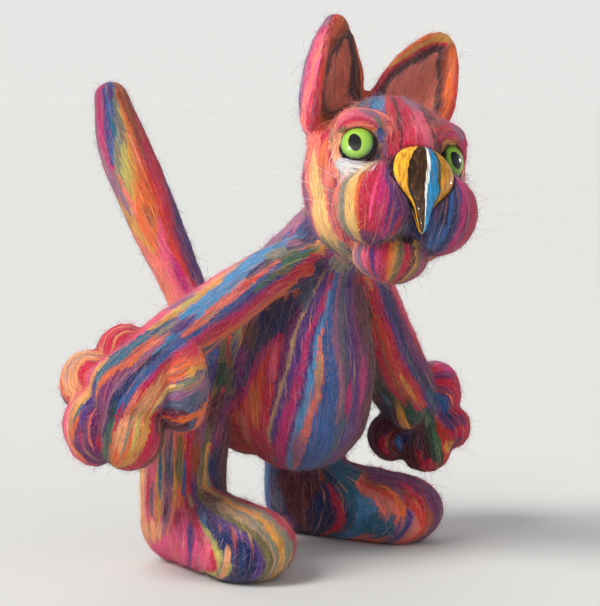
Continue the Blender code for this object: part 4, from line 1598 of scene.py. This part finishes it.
@dataclass
class WoolBody:
    """The whole body of wool, with its locks, lumps and creases."""

    coat: Coat
    voxel: float = 0.00119
    smoothing: int = 7
    crease_depth: float = 0.9
    crease_width: float = 2.2
    lump: float = 0.42
    ridge: float = 0.30
    lens_gap: float = 0.25
    # Each run of ridges: how often it changes across and along, its layer, and its share
    ridge_runs: tuple[tuple[float, ...], ...] = ((0.33, 0.03, 7.7, 0.7), (0.8, 0.06, 3.1, 0.45))

    def base(self) -> Mesh:
        """The body's own form as an even, fine mesh.

        Returns:
            The mesh, in the part's frame.
        """
        guide = linked("wool_guide", frame["nodes"]["felt_body"].data.copy())
        felting = guide.modifiers.new("felting", "REMESH")
        felting.mode = "VOXEL"
        felting.voxel_size = self.voxel
        easing = guide.modifiers.new("easing", "SMOOTH")
        easing.factor = 0.5
        easing.iterations = self.smoothing
        mesh = bpy.data.meshes.new_from_object(
            guide.evaluated_get(bpy.context.evaluated_depsgraph_get()))
        bpy.data.objects.remove(guide, do_unlink=True)
        mesh.name = "wool_body"
        return mesh

    def creases(self, depths: Array, order: Array) -> Array:
        """How deep each place lies in the crease between the two forms nearest to it.

        Args:
            depths: Distance of each place from each group of forms, in mm.
            order: The nearest group and the next, for each place.

        Returns:
            A share of the full depth for each place, negative where the wool is raised.
        """
        pick = np.arange(depths.shape[1])
        between = depths[order[1], pick] - depths[order[0], pick]
        folds = np.array([self.coat.parts[index].fold for index in self.coat.part_of])
        first, second = folds[order[0]], folds[order[1]]
        return np.exp(-(between / self.crease_width) ** 2) * np.where(
            np.minimum(first, second) < 0.0, np.minimum(first, second),
            np.sqrt(np.maximum(first * second, 0.0)))

    def relief(self, mesh: Mesh) -> None:
        """Raise the locks and lumps and press the creases between parts.

        Args:
            mesh: The body's mesh, which is changed.
        """
        places = to_drawing(rows_of(mesh.vertices, "co"))
        normals = rows_of(mesh.vertices, "normal")
        depths = self.coat.group_depths(places)
        order = depths.argsort(axis=0)[:2]
        owner = self.coat.part_of[order[0]]
        ridges = np.zeros(len(places))
        for index, part, own in self.coat.shares(owner):
            found = self.coat.locate(index, places[own])
            around = np.radians(found["angle"]) * part.girth
            for across, along, layer, share in self.ridge_runs:
                ridges[own] += grain_of(np.stack(
                    (around * across, found["along"] * along,
                     np.full(len(own), layer * index)), 1)) * share
        lumps = grain_of(places * 0.12) + 0.5 * grain_of(places * 0.3 + 40.0)
        lift = (self.ridge * ridges + self.lump * lumps
                - self.crease_depth * self.creases(depths, order))
        places = places + normals * lift[:, None]
        for side, _ in SIDES:
            places = Glass(side).clear(places, self.lens_gap)
        places[:, 2] = np.maximum(places[:, 2], 0.0)
        mesh.vertices.foreach_set("co", to_frame(places).astype(np.float32).ravel())
        mesh.update()

    def dye(self, mesh: Mesh) -> None:
        """Store the dyes and the flow of the wool.

        Args:
            mesh: The body's mesh, which is changed. All its faces have four corners.
        """
        places = to_drawing(rows_of(mesh.vertices, "co"))
        faces = np.zeros(len(mesh.loops), np.int32)
        mesh.loops.foreach_get("vertex_index", faces)
        faces = faces.reshape(-1, 4)
        corners = places[faces]
        depths = self.coat.part_depths(self.coat.group_depths(places))
        strands = self.coat.strands(depths[:, faces], corners.mean(axis=1), corners)
        for name, kind, values in (
                ("dye_left", "FLOAT_COLOR", np.repeat(strands.left, 4, axis=0)),
                ("dye_right", "FLOAT_COLOR", np.repeat(strands.right, 4, axis=0)),
                ("edge", "FLOAT", strands.edge.ravel()),
                ("flow", "FLOAT_VECTOR", strands.flow.reshape(-1, 3)),
                ("streak", "FLOAT", np.repeat(strands.streak, 4))):
            set_values(mesh, name, kind, "CORNER", values)

    def build(self) -> Object:
        """Build the body.

        Returns:
            The piece.
        """
        mesh = self.base()
        self.relief(mesh)
        self.dye(mesh)
        mesh.shade_smooth()
        return show("wool_body", mesh, WoolFinish().material(), ("felt_body",))


class FibreKind(Enum):
    """How a loose fibre lies."""

    LYING = "lying"
    FUZZ = "fuzz"


@dataclass
class Fibres:
    """Loose fibres over the wool, each a thin closed thread that tapers at both ends."""

    body: Object
    coat: Coat
    name: str
    kind: FibreKind
    count: int
    seed: int
    radius: float
    rings: int
    lengths: tuple[float, float]
    # Half angles in radians that lying fibres and fuzz stray from the locks
    spreads: tuple[float, float] = (0.55, 1.0)
    bend: float = 0.25
    curl: float = 0.6
    faded: Point = (0.70, 0.50, 0.50)
    least_height: float = 1.0

    def __post_init__(self) -> None:
        """Start the fibres' own draw of random numbers."""
        self.rng = np.random.default_rng(self.seed)

    def roots(self) -> tuple[Array, Array, Array]:
        """Pick faces by area.

        Returns:
            The faces, their middles and their normals, in drawing mm.
        """
        faces = self.body.data.polygons
        areas = rows_of(faces, "area", 1)[:, 0].astype(np.float32)
        middles = to_drawing(rows_of(faces, "center"))
        weights = areas * (middles[:, 2] > self.least_height)
        picked = self.rng.choice(len(areas), self.count, p=weights / weights.sum())
        return picked, middles[picked], rows_of(faces, "normal")[picked]

    def paths(self, roots: Array, normals: Array, runs: Array) -> Array:
        """Points along each fibre: one a ring and one at each end.

        Args:
            roots: Where each fibre is rooted, in drawing mm.
            normals: The skin's normals there.
            runs: The way of the locks there.

        Returns:
            The points of each fibre, in drawing mm.
        """
        count, steps = len(roots), self.rings + 1
        lying = self.kind is FibreKind.LYING
        spread = self.rng.normal(0.0, self.spreads[0 if lying else 1], count)
        side = np.cross(normals, runs)
        heading = runs * np.cos(spread)[:, None] + side * np.sin(spread)[:, None]
        heading *= np.where(self.rng.random(count) < 0.5, -1.0, 1.0)[:, None]
        bend = self.rng.normal(0.0, self.bend, count)
        points = np.zeros((count, steps + 1, 3))
        length = self.rng.uniform(*self.lengths, count)
        if lying:
            for k in range(steps + 1):
                share = k / steps - 0.5
                points[:, k] = (roots + heading * (length * share)[:, None]
                                + side * (bend * length * share ** 2)[:, None])
            return self.hug(points)
        rise = self.rng.uniform(0.2, 0.95, count)
        curl = self.rng.normal(0.0, self.curl, (count, 3))
        for k in range(steps + 1):
            share = k / steps
            out = rise * share * (1.0 - 0.45 * share)
            points[:, k] = (roots + heading * (length * share * 0.8)[:, None]
                            + normals * (length * out - 0.1 * (1.0 - share))[:, None]
                            + curl * (length * share * share * 0.5)[:, None])
        return points

    def hug(self, points: Array) -> Array:
        """Bring lying fibres down to the skin, a hair's breadth above it.

        Args:
            points: The points of each fibre, in drawing mm.

        Returns:
            The same points on the skin, with the ends just inside it.
        """
        mesh = self.body.data
        tree = BVHTree.FromPolygons([v.co for v in mesh.vertices],
                                    [p.vertices for p in mesh.polygons])
        lift = self.rng.uniform(0.02, 0.16, points.shape[:2])
        lift[:, 0] = lift[:, -1] = -0.05
        flat = to_frame(points.reshape(-1, 3))
        out = np.empty_like(flat)
        for i, (place, up) in enumerate(zip(flat.tolist(), lift.ravel().tolist())):
            near, normal, _, _ = tree.find_nearest(Vector(place))
            out[i] = near + normal * (up * MM)
        return to_drawing(out).reshape(points.shape)

    def dyes(self, picked: Array) -> Array:
        """A dye for each fibre, near that of its root.

        Args:
            picked: The face of each fibre's root.

        Returns:
            One colour for each fibre.
        """
        values = self.body.data.attributes
        left, right = (rows_of(values[key].data, "color", 4)[picked * 4, :3]
                       for key in ("dye_left", "dye_right"))
        edge = rows_of(values["edge"].data, "value", 1)[picked * 4, 0]
        pick = edge + self.rng.normal(0.0, 0.7, len(picked)) > 0.0
        dye = np.where(pick[:, None], right, left)
        blend = self.rng.uniform(0.0, 0.40, (len(picked), 1))
        dye = dye * (1.0 - blend) + np.array(self.faded) * blend
        return np.clip(dye * self.rng.uniform(0.7, 1.35, (len(picked), 1)), 0.0, 1.0)

    def build(self) -> Object:
        """Build the fibres.

        Returns:
            The piece.
        """
        picked, roots, normals = self.roots()
        runs = np.zeros_like(roots)
        owner = self.coat.part_depths(self.coat.group_depths(roots)).argmin(axis=0)
        for index, _, own in self.coat.shares(owner):
            runs[own] = np.cross(normals[own], self.coat.locate(index, roots[own])["hoop"])
        runs = unit(runs - dots(runs, normals) * normals)
        points = self.paths(roots, normals, runs)
        dyes = self.dyes(picked)
        mesh = self.threads(points, dyes)
        return show(self.name, mesh, FibreFinish(f"{self.name}_fibre").material())

    def threads(self, points: Array, dyes: Array) -> Mesh:
        """Round the paths into three-sided threads with pointed ends.

        Args:
            points: The points of each fibre, in drawing mm.
            dyes: One colour for each fibre.

        Returns:
            The mesh, with each fibre's colour and its own square of the unwrapped sheet.
        """
        count = len(points)
        along = unit(np.gradient(points, axis=1))
        guide = unit(self.rng.normal(0.0, 1.0, (count, 1, 3)))
        first = unit(np.cross(along, guide))
        second = np.cross(along, first)
        radius = self.radius * self.rng.uniform(0.7, 1.3, (count, 1, 1))
        last = 3 * self.rings + 1
        verts = np.zeros((count, last + 1, 3))
        verts[:, 0] = points[:, 0]
        verts[:, last] = points[:, -1]
        for k in range(1, self.rings + 1):
            for j in range(3):
                turn = 2.0 * pi * j / 3.0
                offset = first[:, k] * cos(turn) + second[:, k] * sin(turn)
                verts[:, 1 + 3 * (k - 1) + j] = points[:, k] + offset * radius[:, 0]
        verts[:, :, 2] = np.maximum(verts[:, :, 2], 0.0)
        tris = []
        for j in range(3):
            following = (j + 1) % 3
            tris.append((0, 1 + following, 1 + j))
            for k in range(self.rings - 1):
                a, b = 1 + 3 * k + j, 1 + 3 * k + following
                tris += [(a, b, b + 3), (a, b + 3, a + 3)]
            tris.append((last - 3 + j, last - 3 + following, last))
        tris = np.array(tris)
        faces = (tris[None] + (last + 1) * np.arange(count)[:, None, None]).reshape(-1, 3)
        mesh = bpy.data.meshes.new(self.name)
        places = to_frame(verts.reshape(-1, 3)).astype(np.float32)
        mesh.vertices.add(len(places))
        mesh.vertices.foreach_set("co", places.ravel())
        mesh.loops.add(faces.size)
        mesh.loops.foreach_set("vertex_index", faces.astype(np.int32).ravel())
        mesh.polygons.add(len(faces))
        mesh.polygons.foreach_set("loop_start", np.arange(0, faces.size, 3, dtype=np.int32))
        mesh.update(calc_edges=True)
        set_values(mesh, "dye", "FLOAT_COLOR", "POINT", np.repeat(dyes, last + 1, axis=0))
        self.unwrap(mesh, count, tris)
        mesh.shade_smooth()
        return mesh

    def unwrap(self, mesh: Mesh, count: int, tris: Array) -> None:
        """Give each fibre its own small square of the sheet.

        Args:
            mesh: The fibres' mesh.
            count: How many fibres there are.
            tris: The triangles of one fibre.
        """
        rows = ceil(sqrt(count))
        local = np.zeros((3 * self.rings + 2, 2))
        local[0], local[-1] = (0.5, 0.05), (0.5, 0.95)
        for k in range(self.rings):
            for j in range(3):
                local[1 + 3 * k + j] = (0.1 + 0.4 * j, 0.05 + 0.9 * (k + 1) / (self.rings + 1))
        cell = np.arange(count)
        base = np.stack((cell % rows, cell // rows), axis=1)[:, None, None, :]
        uv = (base + local[tris][None]) / rows
        layer = mesh.uv_layers.new(name="OFBake")
        layer.data.foreach_set("uv", uv.astype(np.float32).ravel())


@dataclass
class Eye:
    """One glass eye with its liner of black wool."""

    word: str
    side: float
    # The liner: where it begins and ends round the glass, in degrees, its reach from the eye's
    # axis, half thickness and place forward of the lens's middle, in mm, and its width by it
    arcs: tuple[tuple[float, float], ...] = ((190.0, 395.0), (145.0, 345.0))
    reach: float = 6.9
    thick: float = 0.75
    lift: float = 1.9
    spread: float = 1.2
    rings: int = 25
    sides: int = 12

    def lens(self, finish: Material) -> None:
        """The glass itself.

        Args:
            finish: Its material.
        """
        glass = Glass(self.side)
        bm = bmesh.new()
        bmesh.ops.create_uvsphere(bm, u_segments=48, v_segments=32, radius=1.0)
        mesh = bpy.data.meshes.new(f"{self.word}_glass_eye")
        bm.to_mesh(mesh)
        bm.free()
        local = rows_of(mesh.vertices, "co") * glass.radii
        set_values(mesh, "lens", "FLOAT_VECTOR", "POINT", local)
        places = to_frame(moved(local, glass.frame()))
        mesh.vertices.foreach_set("co", places.astype(np.float32).ravel())
        mesh.update()
        mesh.shade_smooth()
        show(f"{self.word}_glass_eye", mesh, finish, (f"{self.word}_eye",))

    def liner(self, finish: Material) -> None:
        """A roll of black wool beside the glass, thin at both ends.

        Args:
            finish: Its material.
        """
        start, end = self.arcs[0 if self.side < 0 else 1]
        rows = []
        for i in range(self.rings):
            share = i / (self.rings - 1)
            turn = radians(start + (end - start) * share)
            swell = max(0.03, sin(pi * share)) ** 0.7
            middle = Vector((cos(turn) * self.reach, sin(turn) * self.reach, self.lift))
            outward = Vector((cos(turn), sin(turn), 0.0))
            for j in range(self.sides):
                angle = 2.0 * pi * j / self.sides
                wide = outward * (cos(angle) * self.thick * self.spread * swell)
                tall = Vector((0.0, 0.0, sin(angle) * self.thick * swell))
                rows.append(tuple(middle + wide + tall))
        name = f"{self.word}_black_liner"
        places = moved(np.array(rows), Glass(self.side).frame())
        show(name, ring_mesh(name, places, self.sides), finish)

    def build(self, glass: Material, black: Material) -> None:
        """Build the eye with its glass and its liner."""
        self.lens(glass)
        self.liner(black)


@dataclass
class Nose:
    """The painted nose, with its point."""

    width: float = 25.5
    height: float = 34.5
    crown: float = 5.2
    back: float = 4.5
    skin: float = 0.4
    rings: int = 60
    sides: int = 96
    # Heights as shares of the whole, and each border between paints at them, across the nose
    levels: tuple[float, ...] = (-0.5, -0.30, -0.12, 0.05, 0.25, 0.5)
    borders: tuple[tuple[float, ...], ...] = (
        (-1.0, -0.985, -0.965, -0.95, -0.965, -0.97),
        (-0.98, -0.95, -0.86, -0.62, -0.52, -0.40), (-0.94, -0.88, -0.78, -0.58, -0.48, -0.36),
        (-0.10, -0.15, -0.16, -0.06, 0.02, 0.08), (-0.06, -0.08, -0.08, 0.02, 0.10, 0.18),
        (0.92, 0.86, 0.62, 0.36, 0.38, 0.46), (0.97, 0.93, 0.70, 0.42, 0.44, 0.54),
        (0.96, 0.96, 0.95, 0.965, 0.97, 0.97))
    # Shares of the height, the half width and the crown, from the top down
    profile: tuple[Point, ...] = (
        (0.500, 0.00, 0.10), (0.480, 0.34, 0.40), (0.430, 0.62, 0.62), (0.340, 0.86, 0.82),
        (0.230, 0.98, 0.94), (0.110, 0.98, 1.00), (0.000, 0.84, 1.00), (-0.080, 0.62, 0.98),
        (-0.150, 0.40, 0.92), (-0.230, 0.26, 0.80), (-0.320, 0.19, 0.66), (-0.410, 0.12, 0.50),
        (-0.470, 0.07, 0.34), (-0.500, 0.00, 0.10))

    def frame(self) -> Matrix:
        """Where the nose sits. Its front looks along its own -Y."""
        return head_matrix() @ Matrix.Translation((0.0, -38.0, -2.2)) @ turned(-24.0, "X")

    def bands(self, local: Array, half: Array) -> Array:
        """Which paint each place has, counted across from the cat's right.

        Args:
            local: Places on the nose, in mm.
            half: Half the nose's width at each row of places.

        Returns:
            A count for each place: 0 to 1 is the first paint, 1 to 2 the second, and so on.
        """
        share = local[:, 0] / np.repeat(half, self.sides)
        level = local[:, 2] / self.height
        borders = [np.interp(level, self.levels, row) for row in self.borders]
        count = np.zeros(len(local))
        low = np.full(len(local), -1.02)
        for step, high in enumerate((*borders, np.full(len(local), 1.02))):
            inside = (share >= low) & (share < high)
            count = np.where(inside, step + (share - low) / np.maximum(high - low, 1e-6), count)
            low = high
        return count

    def build(self, finish: Material) -> None:
        """Build the nose.

        Args:
            finish: Its material.
        """
        table = np.array(self.profile)[::-1]
        level = -0.5 * np.cos(np.pi * np.linspace(0.0, 1.0, self.rings))
        half = np.interp(level, table[:, 0], table[:, 1]) * self.width / 2.0
        crown = np.interp(level, table[:, 0], table[:, 2])
        for _ in range(3):
            for row in (half, crown):
                row[1:-1] = (row[:-2] + 2.0 * row[1:-1] + row[2:]) / 4.0
        half = half + self.skin
        local = []
        for i in range(self.rings):
            front, back = crown[i] * self.crown, sqrt(crown[i]) * self.back
            for j in range(self.sides):
                turn = 2.0 * pi * j / self.sides
                deep = front if sin(turn) > 0.0 else back
                local.append((half[i] * cos(turn), -deep * sin(turn),
                              level[i] * self.height))
        local = np.array(local)
        mesh = ring_mesh("painted_nose", moved(local, self.frame()), self.sides)
        set_values(mesh, "lens", "FLOAT_VECTOR", "POINT", local)
        set_values(mesh, "band", "FLOAT", "POINT", self.bands(local, half))
        show("painted_nose", mesh, finish, ("nose",))


@dataclass
class Whiskers:
    """Clear nylon whiskers."""

    radius: float = 0.11
    taper: float = 0.45
    length: float = 66.0
    sag: float = 0.09
    seat: float = 4.0
    steps: int = 24
    sides: int = 8
    # Each one's root and way in the head's frame, for the cat's left, and its share of the length
    rows: tuple[tuple[Point, Point, float], ...] = (
        ((26.0, -25.0, -4.0), (0.93, 0.15, 0.34), 1.00),
        ((27.2, -25.0, -8.5), (0.95, 0.15, 0.18), 0.94),
        ((26.6, -25.0, -13.0), (0.95, 0.12, 0.06), 0.86))

    def line(self, side: float, root: Point, way: Point, length: float) -> list[Vector]:
        """The middle line of one whisker, from inside the cheek to the tip.

        Args:
            side: -1 for the cat's right, 1 for its left.
            root: Where it leaves the cheek, in the head's frame.
            way: The direction that it leaves in.
            length: How long it is outside the cheek, in mm.

        Returns:
            Points in drawing mm.
        """
        head = head_matrix()
        start = head @ Vector((side * root[0], root[1], root[2]))
        heading = (head.to_3x3() @ Vector((side * way[0], way[1], way[2]))).normalized()
        points = []
        for i in range(self.steps + 1):
            run = i / self.steps * (1.0 + self.seat / length) - self.seat / length
            drop = self.sag * length * max(run, 0.0) ** 2
            points.append(start + heading * (length * run) - Vector((0.0, 0.0, drop)))
        return points

    def thread(self, points: list[Vector]) -> Array:
        """Rings of places round a line.

        Args:
            points: The line, in drawing mm.

        Returns:
            The places of all the rings.
        """
        rows = []
        for i, point in enumerate(points):
            along = (points[min(i + 1, self.steps)] - points[max(i - 1, 0)]).normalized()
            across = along.cross(Vector((0.0, 0.0, 1.0))).normalized()
            above = across.cross(along)
            thin = self.radius * (1.0 - self.taper * i / self.steps)
            for j in range(self.sides):
                turn = 2.0 * pi * j / self.sides
                out = across * cos(turn) + above * sin(turn)
                rows.append(tuple(point + out * thin))
        return np.array(rows)

    def build(self, finish: Material) -> None:
        """Build all the whiskers.

        Args:
            finish: Their material.
        """
        for side, word in SIDES:
            for number, (root, way, share) in enumerate(self.rows, start=1):
                name = f"{word}_whisker_{number}"
                places = self.thread(self.line(side, root, way, self.length * share))
                show(f"{name}_thread", ring_mesh(f"{name}_thread", places, self.sides), finish,
                     (name,))


@dataclass
class Studio:
    """Plain pale floor, soft light and the camera at the photograph's angle."""

    distance: float = 900.0
    bearing: float = -50.0
    height: float = 190.0
    focal: float = 135.0
    aim: Point = (3.86, -4.6, 101.6)
    floor_reach: float = 12.0
    floor_colour: Point = (0.66, 0.655, 0.635)
    # Each sun's name, bearing, rise, power, spread in degrees and colour
    suns: tuple[tuple, ...] = (
        ("window_light", -108.0, 46.0, 3.0, 30.0, (1.0, 0.99, 0.97)),
        ("fill_light", -10.0, 35.0, 0.45, 60.0, (0.96, 0.98, 1.0)),
        ("back_light", 140.0, 40.0, 0.7, 50.0, (1.0, 1.0, 1.0)))
    # Small lamps seen as bright spots in the glass of the eyes: name, bearing, rise and power
    glints: tuple[tuple[str, float, float, float], ...] = (
        ("near_glint", -101.0, 5.0, 0.03), ("far_glint", 62.0, 5.0, 0.02))
    room: tuple[tuple[float, Point], ...] = (
        (0.0, (0.80, 0.80, 0.78)), (0.14, (0.79, 0.80, 0.79)), (0.5, (0.27, 0.28, 0.29)),
        (1.0, (0.24, 0.25, 0.27)))

    def floor(self) -> None:
        """A wide pale floor."""
        mesh = bpy.data.meshes.new("floor")
        size = self.floor_reach
        mesh.from_pydata([(-size, -size, 0.0), (size, -size, 0.0), (size, size, 0.0),
                          (-size, size, 0.0)], [], [(0, 1, 2, 3)])
        made = linked("floor", mesh)
        mesh.materials.append(PlainFinish("pale_floor", self.floor_colour, 0.9).material())

    def lamp(self, name: str, kind: str, bearing: float, rise: float, power: float,
             away: float) -> Object:
        """A lamp that shines on the figure.

        Args:
            name: Its name.
            kind: Its type.
            bearing: Where it stands, in degrees from the cat's front towards its left.
            rise: How high it stands, in degrees.
            power: Its strength.
            away: Its distance from the figure's middle, in metres.

        Returns:
            The lamp.
        """
        data = bpy.data.lights.new(name, kind)
        data.energy = power
        made = linked(name, data)
        a, e = radians(bearing), radians(rise)
        way = Vector((sin(a) * cos(e), -cos(a) * cos(e), sin(e)))
        made.location = Vector((0.0, 0.0, 0.16)) + way * away
        made.rotation_euler = (-way).to_track_quat("-Z", "Y").to_euler()
        return made

    def lights(self) -> None:
        """The suns, the glints and the room's own light."""
        for name, bearing, rise, power, spread, colour in self.suns:
            sun = self.lamp(name, "SUN", bearing, rise, power, 1.0)
            sun.data.angle = radians(spread)
            sun.data.color = colour
            sun.visible_glossy = False
        for name, bearing, rise, power in self.glints:
            glint = self.lamp(name, "AREA", bearing, rise, power, 0.7)
            glint.data.size = 0.05
            glint.data.spread = radians(16.0)
        graph = RoomGraph("soft_room")
        rise = graph.part(graph.add("ShaderNodeTexCoord", {}, {}, "Generated"), "Z")
        graph.set({"Color": graph.add("ShaderNodeValToRGB", {"stops": self.room}, {0: rise}),
                   "Strength": 1.0})
        bpy.context.scene.world = graph.world

    def camera(self) -> None:
        """The camera, near and a little above, aimed at the middle of the figure."""
        data = bpy.data.cameras.new("camera")
        data.sensor_fit = "HORIZONTAL"
        data.sensor_width = 36.0
        data.lens = self.focal
        data.clip_start = 0.05
        data.clip_end = 100.0
        made = linked("camera", data)
        a = radians(self.bearing)
        eye = np.array((sin(a) * self.distance, -cos(a) * self.distance, self.height))
        made.location = Vector(to_frame(eye))
        way = Vector(to_frame(np.array(self.aim))) - made.location
        made.rotation_euler = way.to_track_quat("-Z", "Y").to_euler()
        bpy.context.scene.camera = made

    def build(self) -> None:
        """Build the studio."""
        self.floor()
        self.lights()
        self.camera()
        bpy.context.scene.view_settings.view_transform = "Standard"


# Each eye's gaze across its own front in mm, how bright its iris is (the left eye's iris is
# darkened to 0.62 as painted shade), and how glossy it is
EYE_LOOKS = {"right": (-0.5, 1.0, 1.0), "left": (-2.2, 0.62, 0.3)}
# The loose fibres: name, kind, count, seed, radius in mm, rings, and shortest and longest in mm
LOOSE_WOOL = (
    ("lying_wool_1", FibreKind.LYING, 9500, 11, 0.06, 3, (5.0, 13.0)),
    ("fuzz_wool_1", FibreKind.FUZZ, 30000, 31, 0.034, 1, (1.2, 3.6)),
    ("lying_wool_2", FibreKind.LYING, 9500, 12, 0.06, 3, (5.0, 13.0)),
    ("fuzz_wool_2", FibreKind.FUZZ, 30000, 32, 0.034, 1, (1.2, 3.6)),
    ("curled_wool", FibreKind.FUZZ, 2200, 41, 0.034, 3, (4.0, 9.0)))


def main() -> None:
    """Build the dressed cat and its studio."""
    coat = Coat()
    body = WoolBody(coat).build()
    black = PlainFinish("black_wool", W.BLACK.linear, 0.8).material()
    for side, word in SIDES:
        green = EyeFinish(f"{word}_green_eye", *EYE_LOOKS[word]).material()
        Eye(word, side).build(green, black)
    Nose().build(NoseFinish().material())
    Whiskers().build(PlainFinish("clear_nylon", (0.9, 0.9, 0.88), 0.15, 0.32).material())
    for row in LOOSE_WOOL:
        Fibres(body, coat, *row).build()
    Studio().build()


if __name__ == "__main__":
    main()
